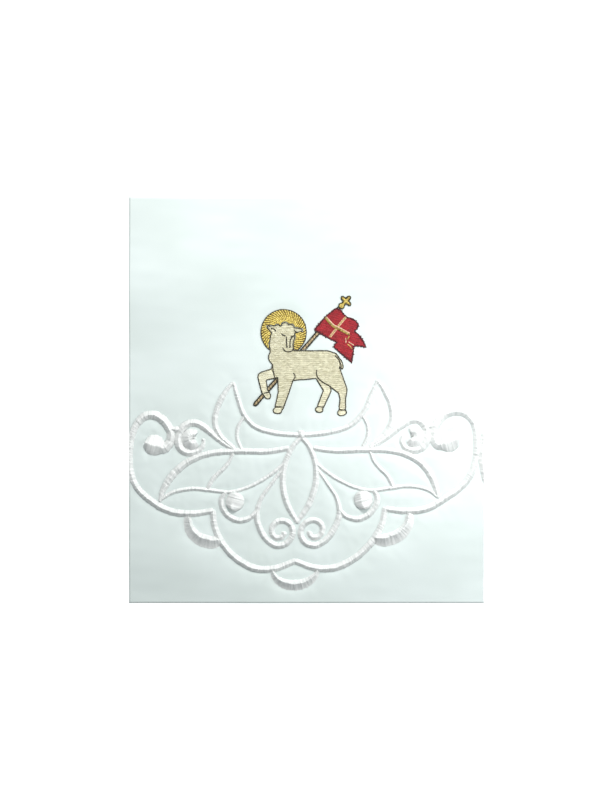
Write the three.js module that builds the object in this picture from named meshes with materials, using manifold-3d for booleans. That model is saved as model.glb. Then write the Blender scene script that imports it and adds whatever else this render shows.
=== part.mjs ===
// An altar cloth panel of white satin, laid out flat in soft swells. A scroll ornament in padded
// white satin stitch stands on it, with a lamb, halo, staff and banner in coloured thread above.
// Millimetres, +Z up. X runs across the panel, Y towards its top edge, and the origin is at the
// middle of the panel on the surface it lies on.
import * as THREE from "three";
import { mergeVertices } from "three/addons/utils/BufferGeometryUtils.js";
import Module from "manifold-3d";

const wasm = await Module();
wasm.setup();

// Driving dimensions of the panel
const PANEL_WIDTH = 284;
const PANEL_LENGTH = 325;
const CLOTH_THICKNESS = 1.2;
const CLOTH_FACET = 9.5;
const STITCH_GAP = 0.3;
const CONTACT_LIFT = 0.3;

// Driving dimensions of the padded satin stitch
const CORD_STEP = 5;
const CORD_ARCS = 4;
const RISE_PER_WIDTH = 0.42;
const GREATEST_RISE = 3.2;
const BALL_RISE = 2.6;
const BALL_TURNS = 20;
const BALL_RINGS = [1, 0.82, 0.48];
const CURL_ROWS = 12;

// Vertices closer than this are one.
const MERGE_DISTANCE = 1e-4;

// Driving dimensions of the coloured stitch
const EMBLEM_THICKNESS = 0.8;
const EMBLEM_FACET = 7;
const ROUND_END_ARCS = 8;
const EDGE_ARCS = 4;
const DISC_ARCS = 36;
const PRISM_HEIGHT = 30;

// Where the ornament's own frame lies on the panel. It leans to the right as it rises, climbs a
// little to the right, and the cloth is drawn out slightly more on its right than on its left.
const ORNAMENT = {
  x: -5.6,
  y: -60,
  lean: 0.05,
  climb: 0.012,
  leftStretch: 0.985,
  rightStretch: 1.015,
};
const REPEAT_PITCH = 282.1;

// The right volute is sewn a little nearer the middle than the left one. This is how far, at the
// distance out where it is most, and the distance from there at which it has faded.
const RIGHT_DRAW = { by: 3, out: 116, reach: 14 };

// The soft swells the cloth lies in: each a long low ridge about its middle, with the distances
// along and across it at which it has faded, its heading from +X in degrees, and its height.
const SWELLS = [
  { x: -118, y: 92, along: 112, across: 33, heading: 9, height: 3.4 },
  { x: 62, y: 128, along: 118, across: 46, heading: -24, height: 2.4 },
  { x: -96, y: -132, along: 74, across: 24, heading: -16, height: 2.0 },
  { x: 112, y: -112, along: 76, across: 30, heading: 28, height: 2.2 },
  { x: 134, y: 6, along: 70, across: 26, heading: 84, height: 1.6 },
];

// Half of the ornament, as strokes of padded stitch: out is the distance from its axis, up the
// height above its middle, and width the stitch's width there.
const STROKES = {
  outerVolute: [
    { out: 111.8, up: 22.8, width: 9.0 },
    { out: 107.4, up: 26.2, width: 7.6 },
    { out: 106.1, up: 31.8, width: 7.0 },
    { out: 107.0, up: 36.6, width: 7.0 },
    { out: 110.2, up: 41.8, width: 7.2 },
    { out: 115.2, up: 46.8, width: 7.4 },
    { out: 121.6, up: 49.5, width: 7.4 },
    { out: 128.2, up: 48.4, width: 7.0 },
    { out: 133.8, up: 43.0, width: 6.2 },
    { out: 136.8, up: 36.4, width: 5.6 },
    { out: 138.8, up: 24.0, width: 5.4 },
    { out: 137.9, up: 7.0, width: 5.2 },
    { out: 132.4, up: -7.2, width: 5.4 },
    { out: 119.5, up: -19.4, width: 5.8 },
    { out: 103.0, up: -28.0, width: 5.8 },
    { out: 85.3, up: -29.8, width: 5.4 },
    { out: 68.6, up: -27.8, width: 4.8 },
  ],
  bridge: [
    { out: 106.2, up: 38.0, width: 4.2 },
    { out: 102.2, up: 37.8, width: 5.2 },
    { out: 98.2, up: 37.6, width: 4.2 },
  ],
  innerVolute: [
    { out: 53.0, up: 20.2, width: 3.4 },
    { out: 60.4, up: 24.6, width: 4.2 },
    { out: 68.0, up: 29.8, width: 4.8 },
    { out: 76.3, up: 36.8, width: 5.6 },
    { out: 85.7, up: 42.4, width: 6.1 },
    { out: 92.3, up: 42.2, width: 6.2 },
    { out: 97.4, up: 38.2, width: 6.4 },
    { out: 99.8, up: 31.2, width: 6.6 },
    { out: 99.0, up: 24.6, width: 6.8 },
    { out: 94.8, up: 20.0, width: 6.4 },
    { out: 88.3, up: 18.8, width: 5.6 },
    { out: 81.9, up: 21.2, width: 4.6 },
    { out: 79.2, up: 26.0, width: 3.6 },
    { out: 79.8, up: 30.4, width: 3.0 },
  ],
  flameOuter: [
    { out: 57.6, up: 75.2, width: 2.2 },
    { out: 64.0, up: 66.0, width: 4.4 },
    { out: 69.4, up: 54.6, width: 4.8 },
    { out: 70.8, up: 42.4, width: 4.9 },
    { out: 66.2, up: 32.4, width: 4.6 },
    { out: 54.0, up: 21.6, width: 3.8 },
  ],
  garland: [
    { out: 57.6, up: 75.2, width: 2.2 },
    { out: 54.4, up: 65.4, width: 3.8 },
    { out: 47.4, up: 48.6, width: 4.2 },
    { out: 38.4, up: 39.4, width: 4.4 },
    { out: 24.0, up: 34.4, width: 4.4 },
    { out: 8.0, up: 32.4, width: 4.2 },
    { out: -1.0, up: 32.0, width: 4.2 },
  ],
  flameInner: [
    { out: 47.0, up: 47.4, width: 2.6 },
    { out: 51.6, up: 39.4, width: 3.2 },
    { out: 52.2, up: 30.6, width: 3.2 },
    { out: 48.0, up: 20.4, width: 3.0 },
  ],
  petalTop: [
    { out: 113.0, up: -19.6, width: 3.0 },
    { out: 110.2, up: -10.6, width: 5.2 },
    { out: 102.6, up: 1.8, width: 6.2 },
    { out: 90.0, up: 12.2, width: 5.8 },
    { out: 73.0, up: 18.2, width: 5.2 },
    { out: 50.0, up: 19.6, width: 5.2 },
    { out: 26.0, up: 19.2, width: 4.8 },
    { out: 9.6, up: 21.6, width: 4.4 },
  ],
  vein: [
    { out: 54.4, up: 18.6, width: 2.8 },
    { out: 59.4, up: 8.6, width: 3.4 },
    { out: 69.6, up: -1.8, width: 3.8 },
    { out: 74.4, up: -10.6, width: 3.4 },
  ],
  petalLow: [
    { out: 113.0, up: -19.6, width: 2.6 },
    { out: 103.0, up: -13.0, width: 3.4 },
    { out: 87.0, up: -10.0, width: 3.4 },
    { out: 70.0, up: -11.6, width: 3.4 },
    { out: 56.0, up: -13.0, width: 3.2 },
    { out: 42.0, up: -9.6, width: 3.2 },
    { out: 26.0, up: -1.2, width: 3.4 },
    { out: 12.6, up: 9.2, width: 3.2 },
  ],
  comma: [
    { out: 59.0, up: -11.8, width: 3.8 },
    { out: 62.4, up: -20.2, width: 4.8 },
    { out: 58.6, up: -29.8, width: 5.2 },
    { out: 49.0, up: -35.6, width: 5.2 },
    { out: 39.0, up: -34.0, width: 4.4 },
    { out: 32.6, up: -27.8, width: 3.2 },
  ],
  teardrop: [
    { out: 13.4, up: 5.2, width: 2.8 },
    { out: 22.4, up: -7.0, width: 3.2 },
    { out: 30.6, up: -19.8, width: 3.8 },
    { out: 33.0, up: -32.8, width: 4.8 },
    { out: 28.6, up: -45.2, width: 5.3 },
  ],
  almond: [
    { out: -0.6, up: 31.0, width: 3.6 },
    { out: 6.8, up: 22.2, width: 4.4 },
    { out: 12.6, up: 7.0, width: 4.8 },
    { out: 13.0, up: -8.0, width: 5.2 },
    { out: 8.4, up: -24.0, width: 5.2 },
    { out: -0.4, up: -38.4, width: 3.8 },
  ],
  bigArc: [
    { out: 69.0, up: -26.8, width: 4.8 },
    { out: 67.0, up: -40.0, width: 5.4 },
    { out: 59.2, up: -55.0, width: 5.8 },
    { out: 46.4, up: -67.4, width: 6.0 },
    { out: 31.0, up: -74.6, width: 6.0 },
    { out: 15.6, up: -74.4, width: 5.4 },
    { out: -0.8, up: -68.6, width: 4.8 },
  ],
  sideLobe: [
    { out: 89.6, up: -32.0, width: 6.0 },
    { out: 87.4, up: -41.8, width: 8.6 },
    { out: 79.8, up: -49.8, width: 10.6 },
    { out: 69.8, up: -53.0, width: 10.8 },
    { out: 62.0, up: -52.6, width: 9.0 },
  ],
  centreLobe: [
    { out: 19.4, up: -75.0, width: 2.6 },
    { out: 15.4, up: -82.2, width: 6.0 },
    { out: 8.2, up: -87.0, width: 8.4 },
    { out: -0.8, up: -88.6, width: 9.2 },
  ],
};

// The curl that ends the teardrop stroke: a spiral about its eye. Its heading is measured from
// the outward direction, in degrees, and tightening above 1 keeps its first half-turn wide.
const CURL = {
  out: 13.4,
  up: -45.0,
  startRadius: 12.0,
  endRadius: 3.0,
  tightening: 1.25,
  startHeading: -41,
  turn: -500,
  startWidth: 5.4,
  endWidth: 3.0,
};

// The padded balls that the scrolls end in, and the bead where the garland meets the almond.
const BALLS = [
  { out: 119.1, up: 25.2, radius: 8.7 },
  { out: 88.1, up: 30.3, radius: 8.2 },
  { out: 51.4, up: -20.6, radius: 7.8 },
];
const BEAD = { out: 0, up: 32.4, radius: 3.4 };

// The lamb, as limbs: each a rounded strip between two centres, with a radius at each.
const LAMB = [
  { x1: -15.4, y1: 27.4, r1: 12.4, x2: 15.6, y2: 28.7, r2: 11.1 }, // trunk
  { x1: -19.0, y1: 33.0, r1: 10.0, x2: -20.4, y2: 46.5, r2: 9.4 }, // neck
  { x1: -24.6, y1: 50.8, r1: 4.6, x2: -19.0, y2: 50.8, r2: 4.6 }, // folds of wool down the neck and chest
  { x1: -24.8, y1: 44.0, r1: 5.4, x2: -19.4, y2: 44.0, r2: 5.4 },
  { x1: -24.8, y1: 34.2, r1: 6.0, x2: -19.0, y2: 34.2, r2: 6.0 },
  { x1: -24.6, y1: 25.4, r1: 3.8, x2: -19.0, y2: 25.4, r2: 3.8 },
  { x1: -19.0, y1: 51.8, r1: 7.6, x2: -16.4, y2: 51.0, r2: 7.4 }, // skull
  { x1: -15.6, y1: 49.0, r1: 5.8, x2: -14.6, y2: 42.8, r2: 3.9 }, // muzzle
  { x1: -27.0, y1: 57.9, r1: 2.4, x2: -22.0, y2: 55.0, r2: 2.4 }, // locks of wool on the brow
  { x1: -23.2, y1: 58.4, r1: 2.5, x2: -20.0, y2: 55.0, r2: 2.5 },
  { x1: -17.2, y1: 59.2, r1: 3.3, x2: -17.0, y2: 55.0, r2: 3.3 },
  { x1: -12.6, y1: 58.0, r1: 3.0, x2: -14.0, y2: 54.0, r2: 3.0 },
  { x1: -9.8, y1: 56.0, r1: 2.3, x2: -12.0, y2: 53.0, r2: 2.3 },
  { x1: -26.6, y1: 55.7, r1: 2.6, x2: -30.8, y2: 58.7, r2: 1.2 }, // left ear
  { x1: -8.4, y1: 55.6, r1: 2.5, x2: -3.8, y2: 56.0, r2: 1.2 }, // right ear
  { x1: -16.6, y1: 19.0, r1: 6.8, x2: -18.4, y2: 6.0, r2: 4.5 }, // near foreleg
  { x1: -18.4, y1: 6.0, r1: 4.5, x2: -21.7, y2: -5.4, r2: 3.7 },
  { x1: -24.6, y1: -8.4, r1: 2.5, x2: -21.8, y2: -8.7, r2: 2.5 }, // its hoof
  { x1: -25.0, y1: 21.6, r1: 4.4, x2: -35.2, y2: 18.9, r2: 3.8 }, // raised foreleg
  { x1: -35.8, y1: 18.6, r1: 3.5, x2: -33.6, y2: 7.6, r2: 2.9 },
  { x1: -33.6, y1: 7.6, r1: 2.9, x2: -31.0, y2: 3.3, r2: 2.8 },
  { x1: 17.6, y1: 23.0, r1: 9.6, x2: 25.0, y2: 13.2, r2: 6.0 }, // near hind leg
  { x1: 25.0, y1: 13.2, r1: 6.0, x2: 28.8, y2: 8.0, r2: 4.0 },
  { x1: 28.8, y1: 8.0, r1: 4.0, x2: 29.1, y2: 0.6, r2: 2.5 },
  { x1: 29.1, y1: 0.6, r1: 2.5, x2: 28.7, y2: -6.2, r2: 3.0 },
  { x1: 27.2, y1: -10.2, r1: 2.7, x2: 29.8, y2: -9.8, r2: 2.7 }, // its hoof
  { x1: 11.8, y1: 18.4, r1: 4.4, x2: 16.8, y2: 8.0, r2: 3.3 }, // far hind leg
  { x1: 16.8, y1: 8.0, r1: 3.3, x2: 11.4, y2: -4.8, r2: 2.8 },
  { x1: 9.2, y1: -7.6, r1: 2.5, x2: 11.0, y2: -7.8, r2: 2.5 }, // its hoof
  { x1: 21.6, y1: 34.6, r1: 3.6, x2: 26.6, y2: 29.8, r2: 2.4 }, // tail
  { x1: 26.6, y1: 29.8, r1: 2.4, x2: 28.3, y2: 25.9, r2: 1.5 },
];
const HALO = { x: -18.3, y: 54.3, radius: 18.5 };

// The staff, as rounded strips of one half-width, and the small cross that tops it.
const STAFF_HALF_WIDTH = 1.7;
const STAFF_TOP = { x: 31.6, y: 79.2 };
const STAFF_FOOT = { x: -41.0, y: -3.4 };
const STAFF_KNOB = { x: 28.0, y: 75.2, radius: 2.4 };
const FINIAL_ARM = 3.3;
const FINIAL_HALF_WIDTH = 1.4;

// The banner: its outline from the foot of its hoist, up the staff, along its head, round both
// tails and back. Bulge is how far the edge that follows a corner swells outwards at its middle.
const BANNER = [
  { x: 6.2, y: 56.2, bulge: 0.9 },
  { x: 23.2, y: 73.4, bulge: 0.4 },
  { x: 28.0, y: 71.6, bulge: -0.3 },
  { x: 32.4, y: 66.2, bulge: 1.5 },
  { x: 41.8, y: 60.2, bulge: 0.8 },
  { x: 38.2, y: 55.2, bulge: 1.6 },
  { x: 47.7, y: 41.8, bulge: -0.6 },
  { x: 38.0, y: 43.0, bulge: 0.2 },
  { x: 36.2, y: 29.8, bulge: 0.2 },
  { x: 21.4, y: 42.8, bulge: 0 },
  { x: 24.2, y: 46.2, bulge: 0.4 },
];
const CROSS_HALF_WIDTH = 1.1;
const CROSS_BANDS = [
  { x1: 16.0, y1: 65.0, x2: 23.2, y2: 58.4 },
  { x1: 23.2, y1: 58.4, x2: 34.0, y2: 52.8 },
  { x1: 30.6, y1: 65.6, x2: 18.8, y2: 50.8 },
];

// How high the cloth's underside is lifted off the surface at a place on the panel.
function liftAt(x, y) {
  let lift = 0;
  for (const swell of SWELLS) {
    const heading = THREE.MathUtils.degToRad(swell.heading);
    const dx = x - swell.x;
    const dy = y - swell.y;
    const along = (dx * Math.cos(heading) + dy * Math.sin(heading)) / swell.along;
    const across = (dy * Math.cos(heading) - dx * Math.sin(heading)) / swell.across;
    lift += swell.height * Math.exp(-along * along - across * across);
  }
  return Math.max(0, lift - CONTACT_LIFT);
}

// The height at which a stitched piece starts, just clear of the cloth's face.
function stitchBaseAt(x, y) {
  return liftAt(x, y) + CLOTH_THICKNESS + STITCH_GAP;
}

// A point of the ornament's frame on the panel. Side is -1 on its left half and 1 on its right.
function ornamentPoint(out, up, side) {
  const fromDraw = (out - RIGHT_DRAW.out) / RIGHT_DRAW.reach;
  const drawn = RIGHT_DRAW.by * Math.exp(-fromDraw * fromDraw);
  const across = side < 0 ? -out * ORNAMENT.leftStretch : (out - drawn) * ORNAMENT.rightStretch;
  return {
    x: ORNAMENT.x + across + ORNAMENT.lean * up,
    y: ORNAMENT.y + up + ORNAMENT.climb * across,
  };
}

// Turns a closed three.js geometry into a solid that can be joined and cut.
function solidOf(geometry) {
  const bare = new THREE.BufferGeometry();
  bare.setAttribute("position", geometry.getAttribute("position"));
  bare.setIndex(geometry.getIndex());
  const merged = mergeVertices(bare, MERGE_DISTANCE);
  return new wasm.Manifold(
    new wasm.Mesh({
      numProp: 3,
      vertProperties: merged.getAttribute("position").array,
      triVerts: new Uint32Array(merged.getIndex().array),
    }),
  );
}

function geometryOf(solid) {
  const mesh = solid.getMesh();
  const geometry = new THREE.BufferGeometry();
  geometry.setAttribute("position", new THREE.BufferAttribute(mesh.vertProperties, 3));
  geometry.setIndex(new THREE.BufferAttribute(mesh.triVerts, 1));
  geometry.computeVertexNormals();
  return geometry;
}

function joined(solids) {
  return solids.reduce((whole, piece) => whole.add(piece));
}

function indexedGeometry(positions, index) {
  const geometry = new THREE.BufferGeometry();
  geometry.setAttribute("position", new THREE.Float32BufferAttribute(positions, 3));
  geometry.setIndex(index);
  return geometry;
}

// A sheet over a rectangle, with an underside and a face given by their heights at each place.
function sheetSolid(area, facet, undersideAt, faceAt) {
  const columns = Math.ceil((area.right - area.left) / facet);
  const rows = Math.ceil((area.top - area.bottom) / facet);
  const positions = [];
  const index = [];
  for (const heightAt of [faceAt, undersideAt]) {
    for (let row = 0; row <= rows; row++) {
      for (let column = 0; column <= columns; column++) {
        const x = THREE.MathUtils.lerp(area.left, area.right, column / columns);
        const y = THREE.MathUtils.lerp(area.bottom, area.top, row / rows);
        positions.push(x, y, heightAt(x, y));
      }
    }
  }
  const layer = (columns + 1) * (rows + 1);
  const at = (row, column) => row * (columns + 1) + column;
  const quad = (a, b, c, d) => index.push(a, b, c, a, c, d);
  for (let row = 0; row < rows; row++) {
    for (let column = 0; column < columns; column++) {
      const [a, b] = [at(row, column), at(row, column + 1)];
      const [d, c] = [at(row + 1, column), at(row + 1, column + 1)];
      quad(a, b, c, d);
      quad(layer + a, layer + d, layer + c, layer + b);
    }
  }
  for (let column = 0; column < columns; column++) {
    const [a, b] = [at(0, column), at(0, column + 1)];
    const [d, c] = [at(rows, column), at(rows, column + 1)];
    quad(layer + a, layer + b, b, a);
    quad(layer + c, layer + d, d, c);
  }
  for (let row = 0; row < rows; row++) {
    const [a, d] = [at(row, 0), at(row + 1, 0)];
    const [b, c] = [at(row, columns), at(row + 1, columns)];
    quad(layer + d, layer + a, a, d);
    quad(layer + b, layer + c, c, b);
  }
  return solidOf(indexedGeometry(positions, index));
}

// A padded stitch along a run of places with widths: flat below, an arched back above.
function cordSolid(places) {
  const positions = [];
  const index = [];
  const ring = CORD_ARCS + 1;
  places.forEach((place, i) => {
    const before = places[Math.max(0, i - 1)];
    const after = places[Math.min(places.length - 1, i + 1)];
    const run = Math.hypot(after.x - before.x, after.y - before.y);
    const left = { x: -(after.y - before.y) / run, y: (after.x - before.x) / run };
    const rise = Math.min(GREATEST_RISE, place.width * RISE_PER_WIDTH);
    for (let arc = 0; arc <= CORD_ARCS; arc++) {
      const angle = (Math.PI * arc) / CORD_ARCS;
      const reach = (place.width / 2) * Math.cos(angle);
      const x = place.x + left.x * reach;
      const y = place.y + left.y * reach;
      positions.push(x, y, stitchBaseAt(x, y) + rise * Math.sin(angle));
    }
  });
  for (let i = 0; i + 1 < places.length; i++) {
    for (let k = 0; k < ring; k++) {
      const a = i * ring + k;
      const b = i * ring + ((k + 1) % ring);
      index.push(a, b, b + ring, a, b + ring, a + ring);
    }
  }
  const last = (places.length - 1) * ring;
  for (let k = 1; k + 1 < ring; k++) {
    index.push(0, k + 1, k);
    index.push(last, last + k, last + k + 1);
  }
  return solidOf(indexedGeometry(positions, index));
}

// A padded ball of stitch: a dome over a round foot, in rings from its rim to its crown.
function ballSolid(place, radius) {
  const rise = Math.min(BALL_RISE, radius * 2 * RISE_PER_WIDTH);
  const positions = [];
  const index = [];
  for (const share of BALL_RINGS) {
    for (let k = 0; k < BALL_TURNS; k++) {
      const angle = (2 * Math.PI * k) / BALL_TURNS;
      const x = place.x + radius * share * Math.cos(angle);
      const y = place.y + radius * share * Math.sin(angle);
      positions.push(x, y, stitchBaseAt(x, y) + rise * Math.sqrt(1 - share * share));
    }
  }
  const innermost = (BALL_RINGS.length - 1) * BALL_TURNS;
  const crown = innermost + BALL_TURNS;
  const foot = crown + 1;
  const base = stitchBaseAt(place.x, place.y);
  positions.push(place.x, place.y, base + rise);
  positions.push(place.x, place.y, base);
  for (let k = 0; k < BALL_TURNS; k++) {
    const next = (k + 1) % BALL_TURNS;
    for (let ring = 0; ring < innermost; ring += BALL_TURNS) {
      const [a, b] = [ring + k, ring + next];
      index.push(a, b, b + BALL_TURNS, a, b + BALL_TURNS, a + BALL_TURNS);
    }
    index.push(innermost + k, innermost + next, crown);
    index.push(next, k, foot);
  }
  return solidOf(indexedGeometry(positions, index));
}

// Places along a smooth curve through a stroke's rows, on one side of the ornament.
function strokePlaces(rows, side, shift = 0) {
  const knots = rows.map((row) => {
    const place = ornamentPoint(row.out, row.up, side);
    return new THREE.Vector3(place.x + shift, place.y, row.width);
  });
  const curve = new THREE.CatmullRomCurve3(knots, false, "centripetal");
  const steps = Math.max(2, Math.round(curve.getLength() / CORD_STEP));
  return curve.getSpacedPoints(steps).map((p) => ({ x: p.x, y: p.y, width: p.z }));
}

function curlRows() {
  const rows = [];
  for (let i = 0; i <= CURL_ROWS; i++) {
    const share = i / CURL_ROWS;
    const heading = THREE.MathUtils.degToRad(CURL.startHeading + CURL.turn * share);
    const closed = share ** CURL.tightening;
    const radius = THREE.MathUtils.lerp(CURL.startRadius, CURL.endRadius, closed);
    rows.push({
      out: CURL.out + radius * Math.cos(heading),
      up: CURL.up + radius * Math.sin(heading),
      width: THREE.MathUtils.lerp(CURL.startWidth, CURL.endWidth, share),
    });
  }
  return rows;
}

// A box over the panel, to trim what reaches past its cut edges.
function panelTrim() {
  return solidOf(new THREE.BoxGeometry(PANEL_WIDTH, PANEL_LENGTH, PRISM_HEIGHT));
}

function scrollOrnament() {
  const solids = [];
  for (const side of [-1, 1]) {
    for (const [name, rows] of Object.entries(STROKES)) {
      const whole = name === "teardrop" ? [...rows, ...curlRows()] : rows;
      solids.push(cordSolid(strokePlaces(whole, side)));
    }
    for (const ball of BALLS) {
      solids.push(ballSolid(ornamentPoint(ball.out, ball.up, side), ball.radius));
    }
  }
  solids.push(ballSolid(ornamentPoint(BEAD.out, BEAD.up, 1), BEAD.radius));
  // The next repeat of the ornament touches this one and is cut off by the panel's right edge.
  solids.push(cordSolid(strokePlaces(STROKES.outerVolute, -1, REPEAT_PITCH)));
  return joined(solids).intersect(panelTrim());
}

// An upright prism over a flat shape, tall enough to pass through the whole panel.
function prismSolid(shape, curveSegments = EDGE_ARCS) {
  const geometry = new THREE.ExtrudeGeometry(shape, {
    depth: PRISM_HEIGHT,
    bevelEnabled: false,
    curveSegments,
  });
  return solidOf(geometry.translate(0, 0, -PRISM_HEIGHT / 2));
}

// A rounded strip between two centres. Grow widens it all round, to cut a clearance.
function limbShape(limb, grow = 0) {
  const start = new THREE.Vector2(limb.x1, limb.y1);
  const end = new THREE.Vector2(limb.x2, limb.y2);
  const span = end.clone().sub(start);
  const heading = span.angle();
  const spread = Math.acos((limb.r1 - limb.r2) / span.length());
  const points = [];
  const arc = (centre, radius, from, to) => {
    for (let i = 0; i <= ROUND_END_ARCS; i++) {
      const angle = THREE.MathUtils.lerp(from, to, i / ROUND_END_ARCS);
      const reach = radius + grow;
      points.push(
        new THREE.Vector2(
          centre.x + reach * Math.cos(angle),
          centre.y + reach * Math.sin(angle),
        ),
      );
    }
  };
  arc(end, limb.r2, heading - spread, heading + spread);
  arc(start, limb.r1, heading + spread, heading - spread + 2 * Math.PI);
  return new THREE.Shape(points);
}

function limbsSolid(limbs, grow = 0) {
  return joined(limbs.map((limb) => prismSolid(limbShape(limb, grow))));
}

function discSolid(circle, grow = 0) {
  const shape = new THREE.Shape();
  shape.absarc(circle.x, circle.y, circle.radius + grow, 0, 2 * Math.PI);
  return prismSolid(shape, DISC_ARCS);
}

// The layer of coloured stitch on the cloth. Level 1 lies on top of level 0.
function emblemLayer(level) {
  const area = { left: -46, right: 52, bottom: -18, top: 90 };
  const start = level * (EMBLEM_THICKNESS + STITCH_GAP);
  return sheetSolid(
    area,
    EMBLEM_FACET,
    (x, y) => stitchBaseAt(x, y) + start,
    (x, y) => stitchBaseAt(x, y) + start + EMBLEM_THICKNESS,
  );
}

function finialLimbs() {
  const along = new THREE.Vector2(STAFF_TOP.x - STAFF_KNOB.x, STAFF_TOP.y - STAFF_KNOB.y);
  along.setLength(FINIAL_ARM);
  const across = new THREE.Vector2(-along.y, along.x);
  const arm = (direction) => ({
    x1: STAFF_TOP.x - direction.x,
    y1: STAFF_TOP.y - direction.y,
    r1: FINIAL_HALF_WIDTH,
    x2: STAFF_TOP.x + direction.x,
    y2: STAFF_TOP.y + direction.y,
    r2: FINIAL_HALF_WIDTH,
  });
  return [arm(along), arm(across)];
}

// A strip of one half-width between two places.
function evenStrip(from, to, halfWidth) {
  return { x1: from.x, y1: from.y, r1: halfWidth, x2: to.x, y2: to.y, r2: halfWidth };
}

function bannerShape() {
  const shape = new THREE.Shape();
  shape.moveTo(BANNER[0].x, BANNER[0].y);
  BANNER.forEach((corner, i) => {
    const next = BANNER[(i + 1) % BANNER.length];
    const run = Math.hypot(next.x - corner.x, next.y - corner.y);
    // The curve's handle stands twice as far out as the edge's middle does.
    const reach = (2 * corner.bulge) / run;
    const handleX = (corner.x + next.x) / 2 - (next.y - corner.y) * reach;
    const handleY = (corner.y + next.y) / 2 + (next.x - corner.x) * reach;
    shape.quadraticCurveTo(handleX, handleY, next.x, next.y);
  });
  return shape;
}

function bannerSolid(grow = 0) {
  const shape = bannerShape();
  if (grow === 0) return prismSolid(shape);
  const corners = shape.getPoints(EDGE_ARCS).slice(1);
  const rim = corners.map((corner, i) => {
    return evenStrip(corner, corners[(i + 1) % corners.length], grow);
  });
  return prismSolid(shape).add(limbsSolid(rim));
}

// The stretches of staff that show, from its foot up: below the raised leg, between that leg and
// the chest, and from the back to the banner.
function staffStretches(staff, hidden) {
  const leftEdge = (solid) => solid.boundingBox().min[0];
  return staff.subtract(hidden).decompose().sort((a, b) => leftEdge(a) - leftEdge(b));
}

// The emblem's pieces by name, each clear of its neighbours by the stitch gap.
function emblemSolids() {
  const staffLimb = evenStrip(STAFF_FOOT, STAFF_KNOB, STAFF_HALF_WIDTH);
  const lambClearance = limbsSolid(LAMB, STITCH_GAP);
  const staffClearance = limbsSolid([staffLimb], STITCH_GAP);
  const hidden = joined([
    lambClearance,
    bannerSolid(STITCH_GAP),
    discSolid(STAFF_KNOB, STITCH_GAP),
  ]);
  const [foot, chest, shoulder] = staffStretches(limbsSolid([staffLimb]), hidden);
  const onBanner = CROSS_BANDS.map((band) => {
    return { ...band, r1: CROSS_HALF_WIDTH, r2: CROSS_HALF_WIDTH };
  });
  const layer = emblemLayer(0);
  return {
    lamb: limbsSolid(LAMB).intersect(layer),
    halo: discSolid(HALO).subtract(lambClearance).subtract(staffClearance).intersect(layer),
    banner: bannerSolid().intersect(layer),
    finial: discSolid(STAFF_KNOB).add(limbsSolid(finialLimbs())).intersect(layer),
    staff_foot: foot.intersect(layer),
    staff_chest: chest.intersect(layer),
    staff_shoulder: shoulder.intersect(layer),
    banner_cross: limbsSolid(onBanner).intersect(emblemLayer(1)),
  };
}

function stitchMesh(name, solid, finish) {
  const material = new THREE.MeshStandardMaterial({ ...finish, metalness: 0 });
  const mesh = new THREE.Mesh(geometryOf(solid), material);
  mesh.name = name;
  return mesh;
}

const panel = {
  left: -PANEL_WIDTH / 2,
  right: PANEL_WIDTH / 2,
  bottom: -PANEL_LENGTH / 2,
  top: PANEL_LENGTH / 2,
};
const clothSolid = sheetSolid(
  panel,
  CLOTH_FACET,
  liftAt,
  (x, y) => liftAt(x, y) + CLOTH_THICKNESS,
);

const FINISHES = {
  cloth: { color: 0xe9f4f1, roughness: 0.45 },
  scroll_ornament: { color: 0xf6faf9, roughness: 0.5 },
  lamb: { color: 0xd7cdaa, roughness: 0.6 },
  banner: { color: 0xb4232d, roughness: 0.5 },
  gold: { color: 0xd2a92e, roughness: 0.45 },
};

const altarCloth = new THREE.Group();
altarCloth.add(stitchMesh("cloth", clothSolid, FINISHES.cloth));
altarCloth.add(stitchMesh("scroll_ornament", scrollOrnament(), FINISHES.scroll_ornament));
for (const [name, solid] of Object.entries(emblemSolids())) {
  altarCloth.add(stitchMesh(name, solid, FINISHES[name] ?? FINISHES.gold));
}

export default altarCloth;
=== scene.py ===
import math

import bmesh
import bpy
import numpy as np
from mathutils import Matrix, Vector
from mathutils.kdtree import KDTree


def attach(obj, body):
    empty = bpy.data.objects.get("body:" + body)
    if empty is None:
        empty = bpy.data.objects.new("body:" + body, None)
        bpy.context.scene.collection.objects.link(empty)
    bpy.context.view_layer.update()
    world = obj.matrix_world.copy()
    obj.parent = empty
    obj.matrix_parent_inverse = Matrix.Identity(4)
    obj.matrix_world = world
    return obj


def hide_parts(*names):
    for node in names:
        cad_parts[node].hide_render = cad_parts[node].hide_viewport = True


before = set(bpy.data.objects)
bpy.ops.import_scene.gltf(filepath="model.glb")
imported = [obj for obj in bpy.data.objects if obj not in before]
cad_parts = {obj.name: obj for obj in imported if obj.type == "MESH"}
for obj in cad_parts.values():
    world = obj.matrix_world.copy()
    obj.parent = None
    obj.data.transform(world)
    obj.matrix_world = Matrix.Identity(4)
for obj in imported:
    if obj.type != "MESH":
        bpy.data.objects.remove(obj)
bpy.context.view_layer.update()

scene = bpy.context.scene

# Sizes are in millimetres here, and meshes are made in metres.
MM = 0.001

# The panel, and its swells: the middle of each, its reach along and across its heading, that heading
# in degrees, and its height.
PANEL_WIDTH = 284
PANEL_LENGTH = 325
CLOTH_THICKNESS = 1.2
CONTACT_LIFT = 0.3
SWELLS = [
    (-118, 92, 112, 33, 9, 3.4),
    (62, 128, 118, 46, -24, 2.4),
    (-96, -132, 74, 24, -16, 2.0),
    (112, -112, 76, 30, 28, 2.2),
    (134, 6, 70, 26, 84, 1.6),
]

# The ornament's own frame on the panel.
ORNAMENT_X = -5.6
ORNAMENT_Y = -60
ORNAMENT_LEAN = 0.05
ORNAMENT_CLIMB = 0.012
LEFT_STRETCH = 0.985
RIGHT_STRETCH = 1.015
REPEAT_PITCH = 282.1

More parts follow.
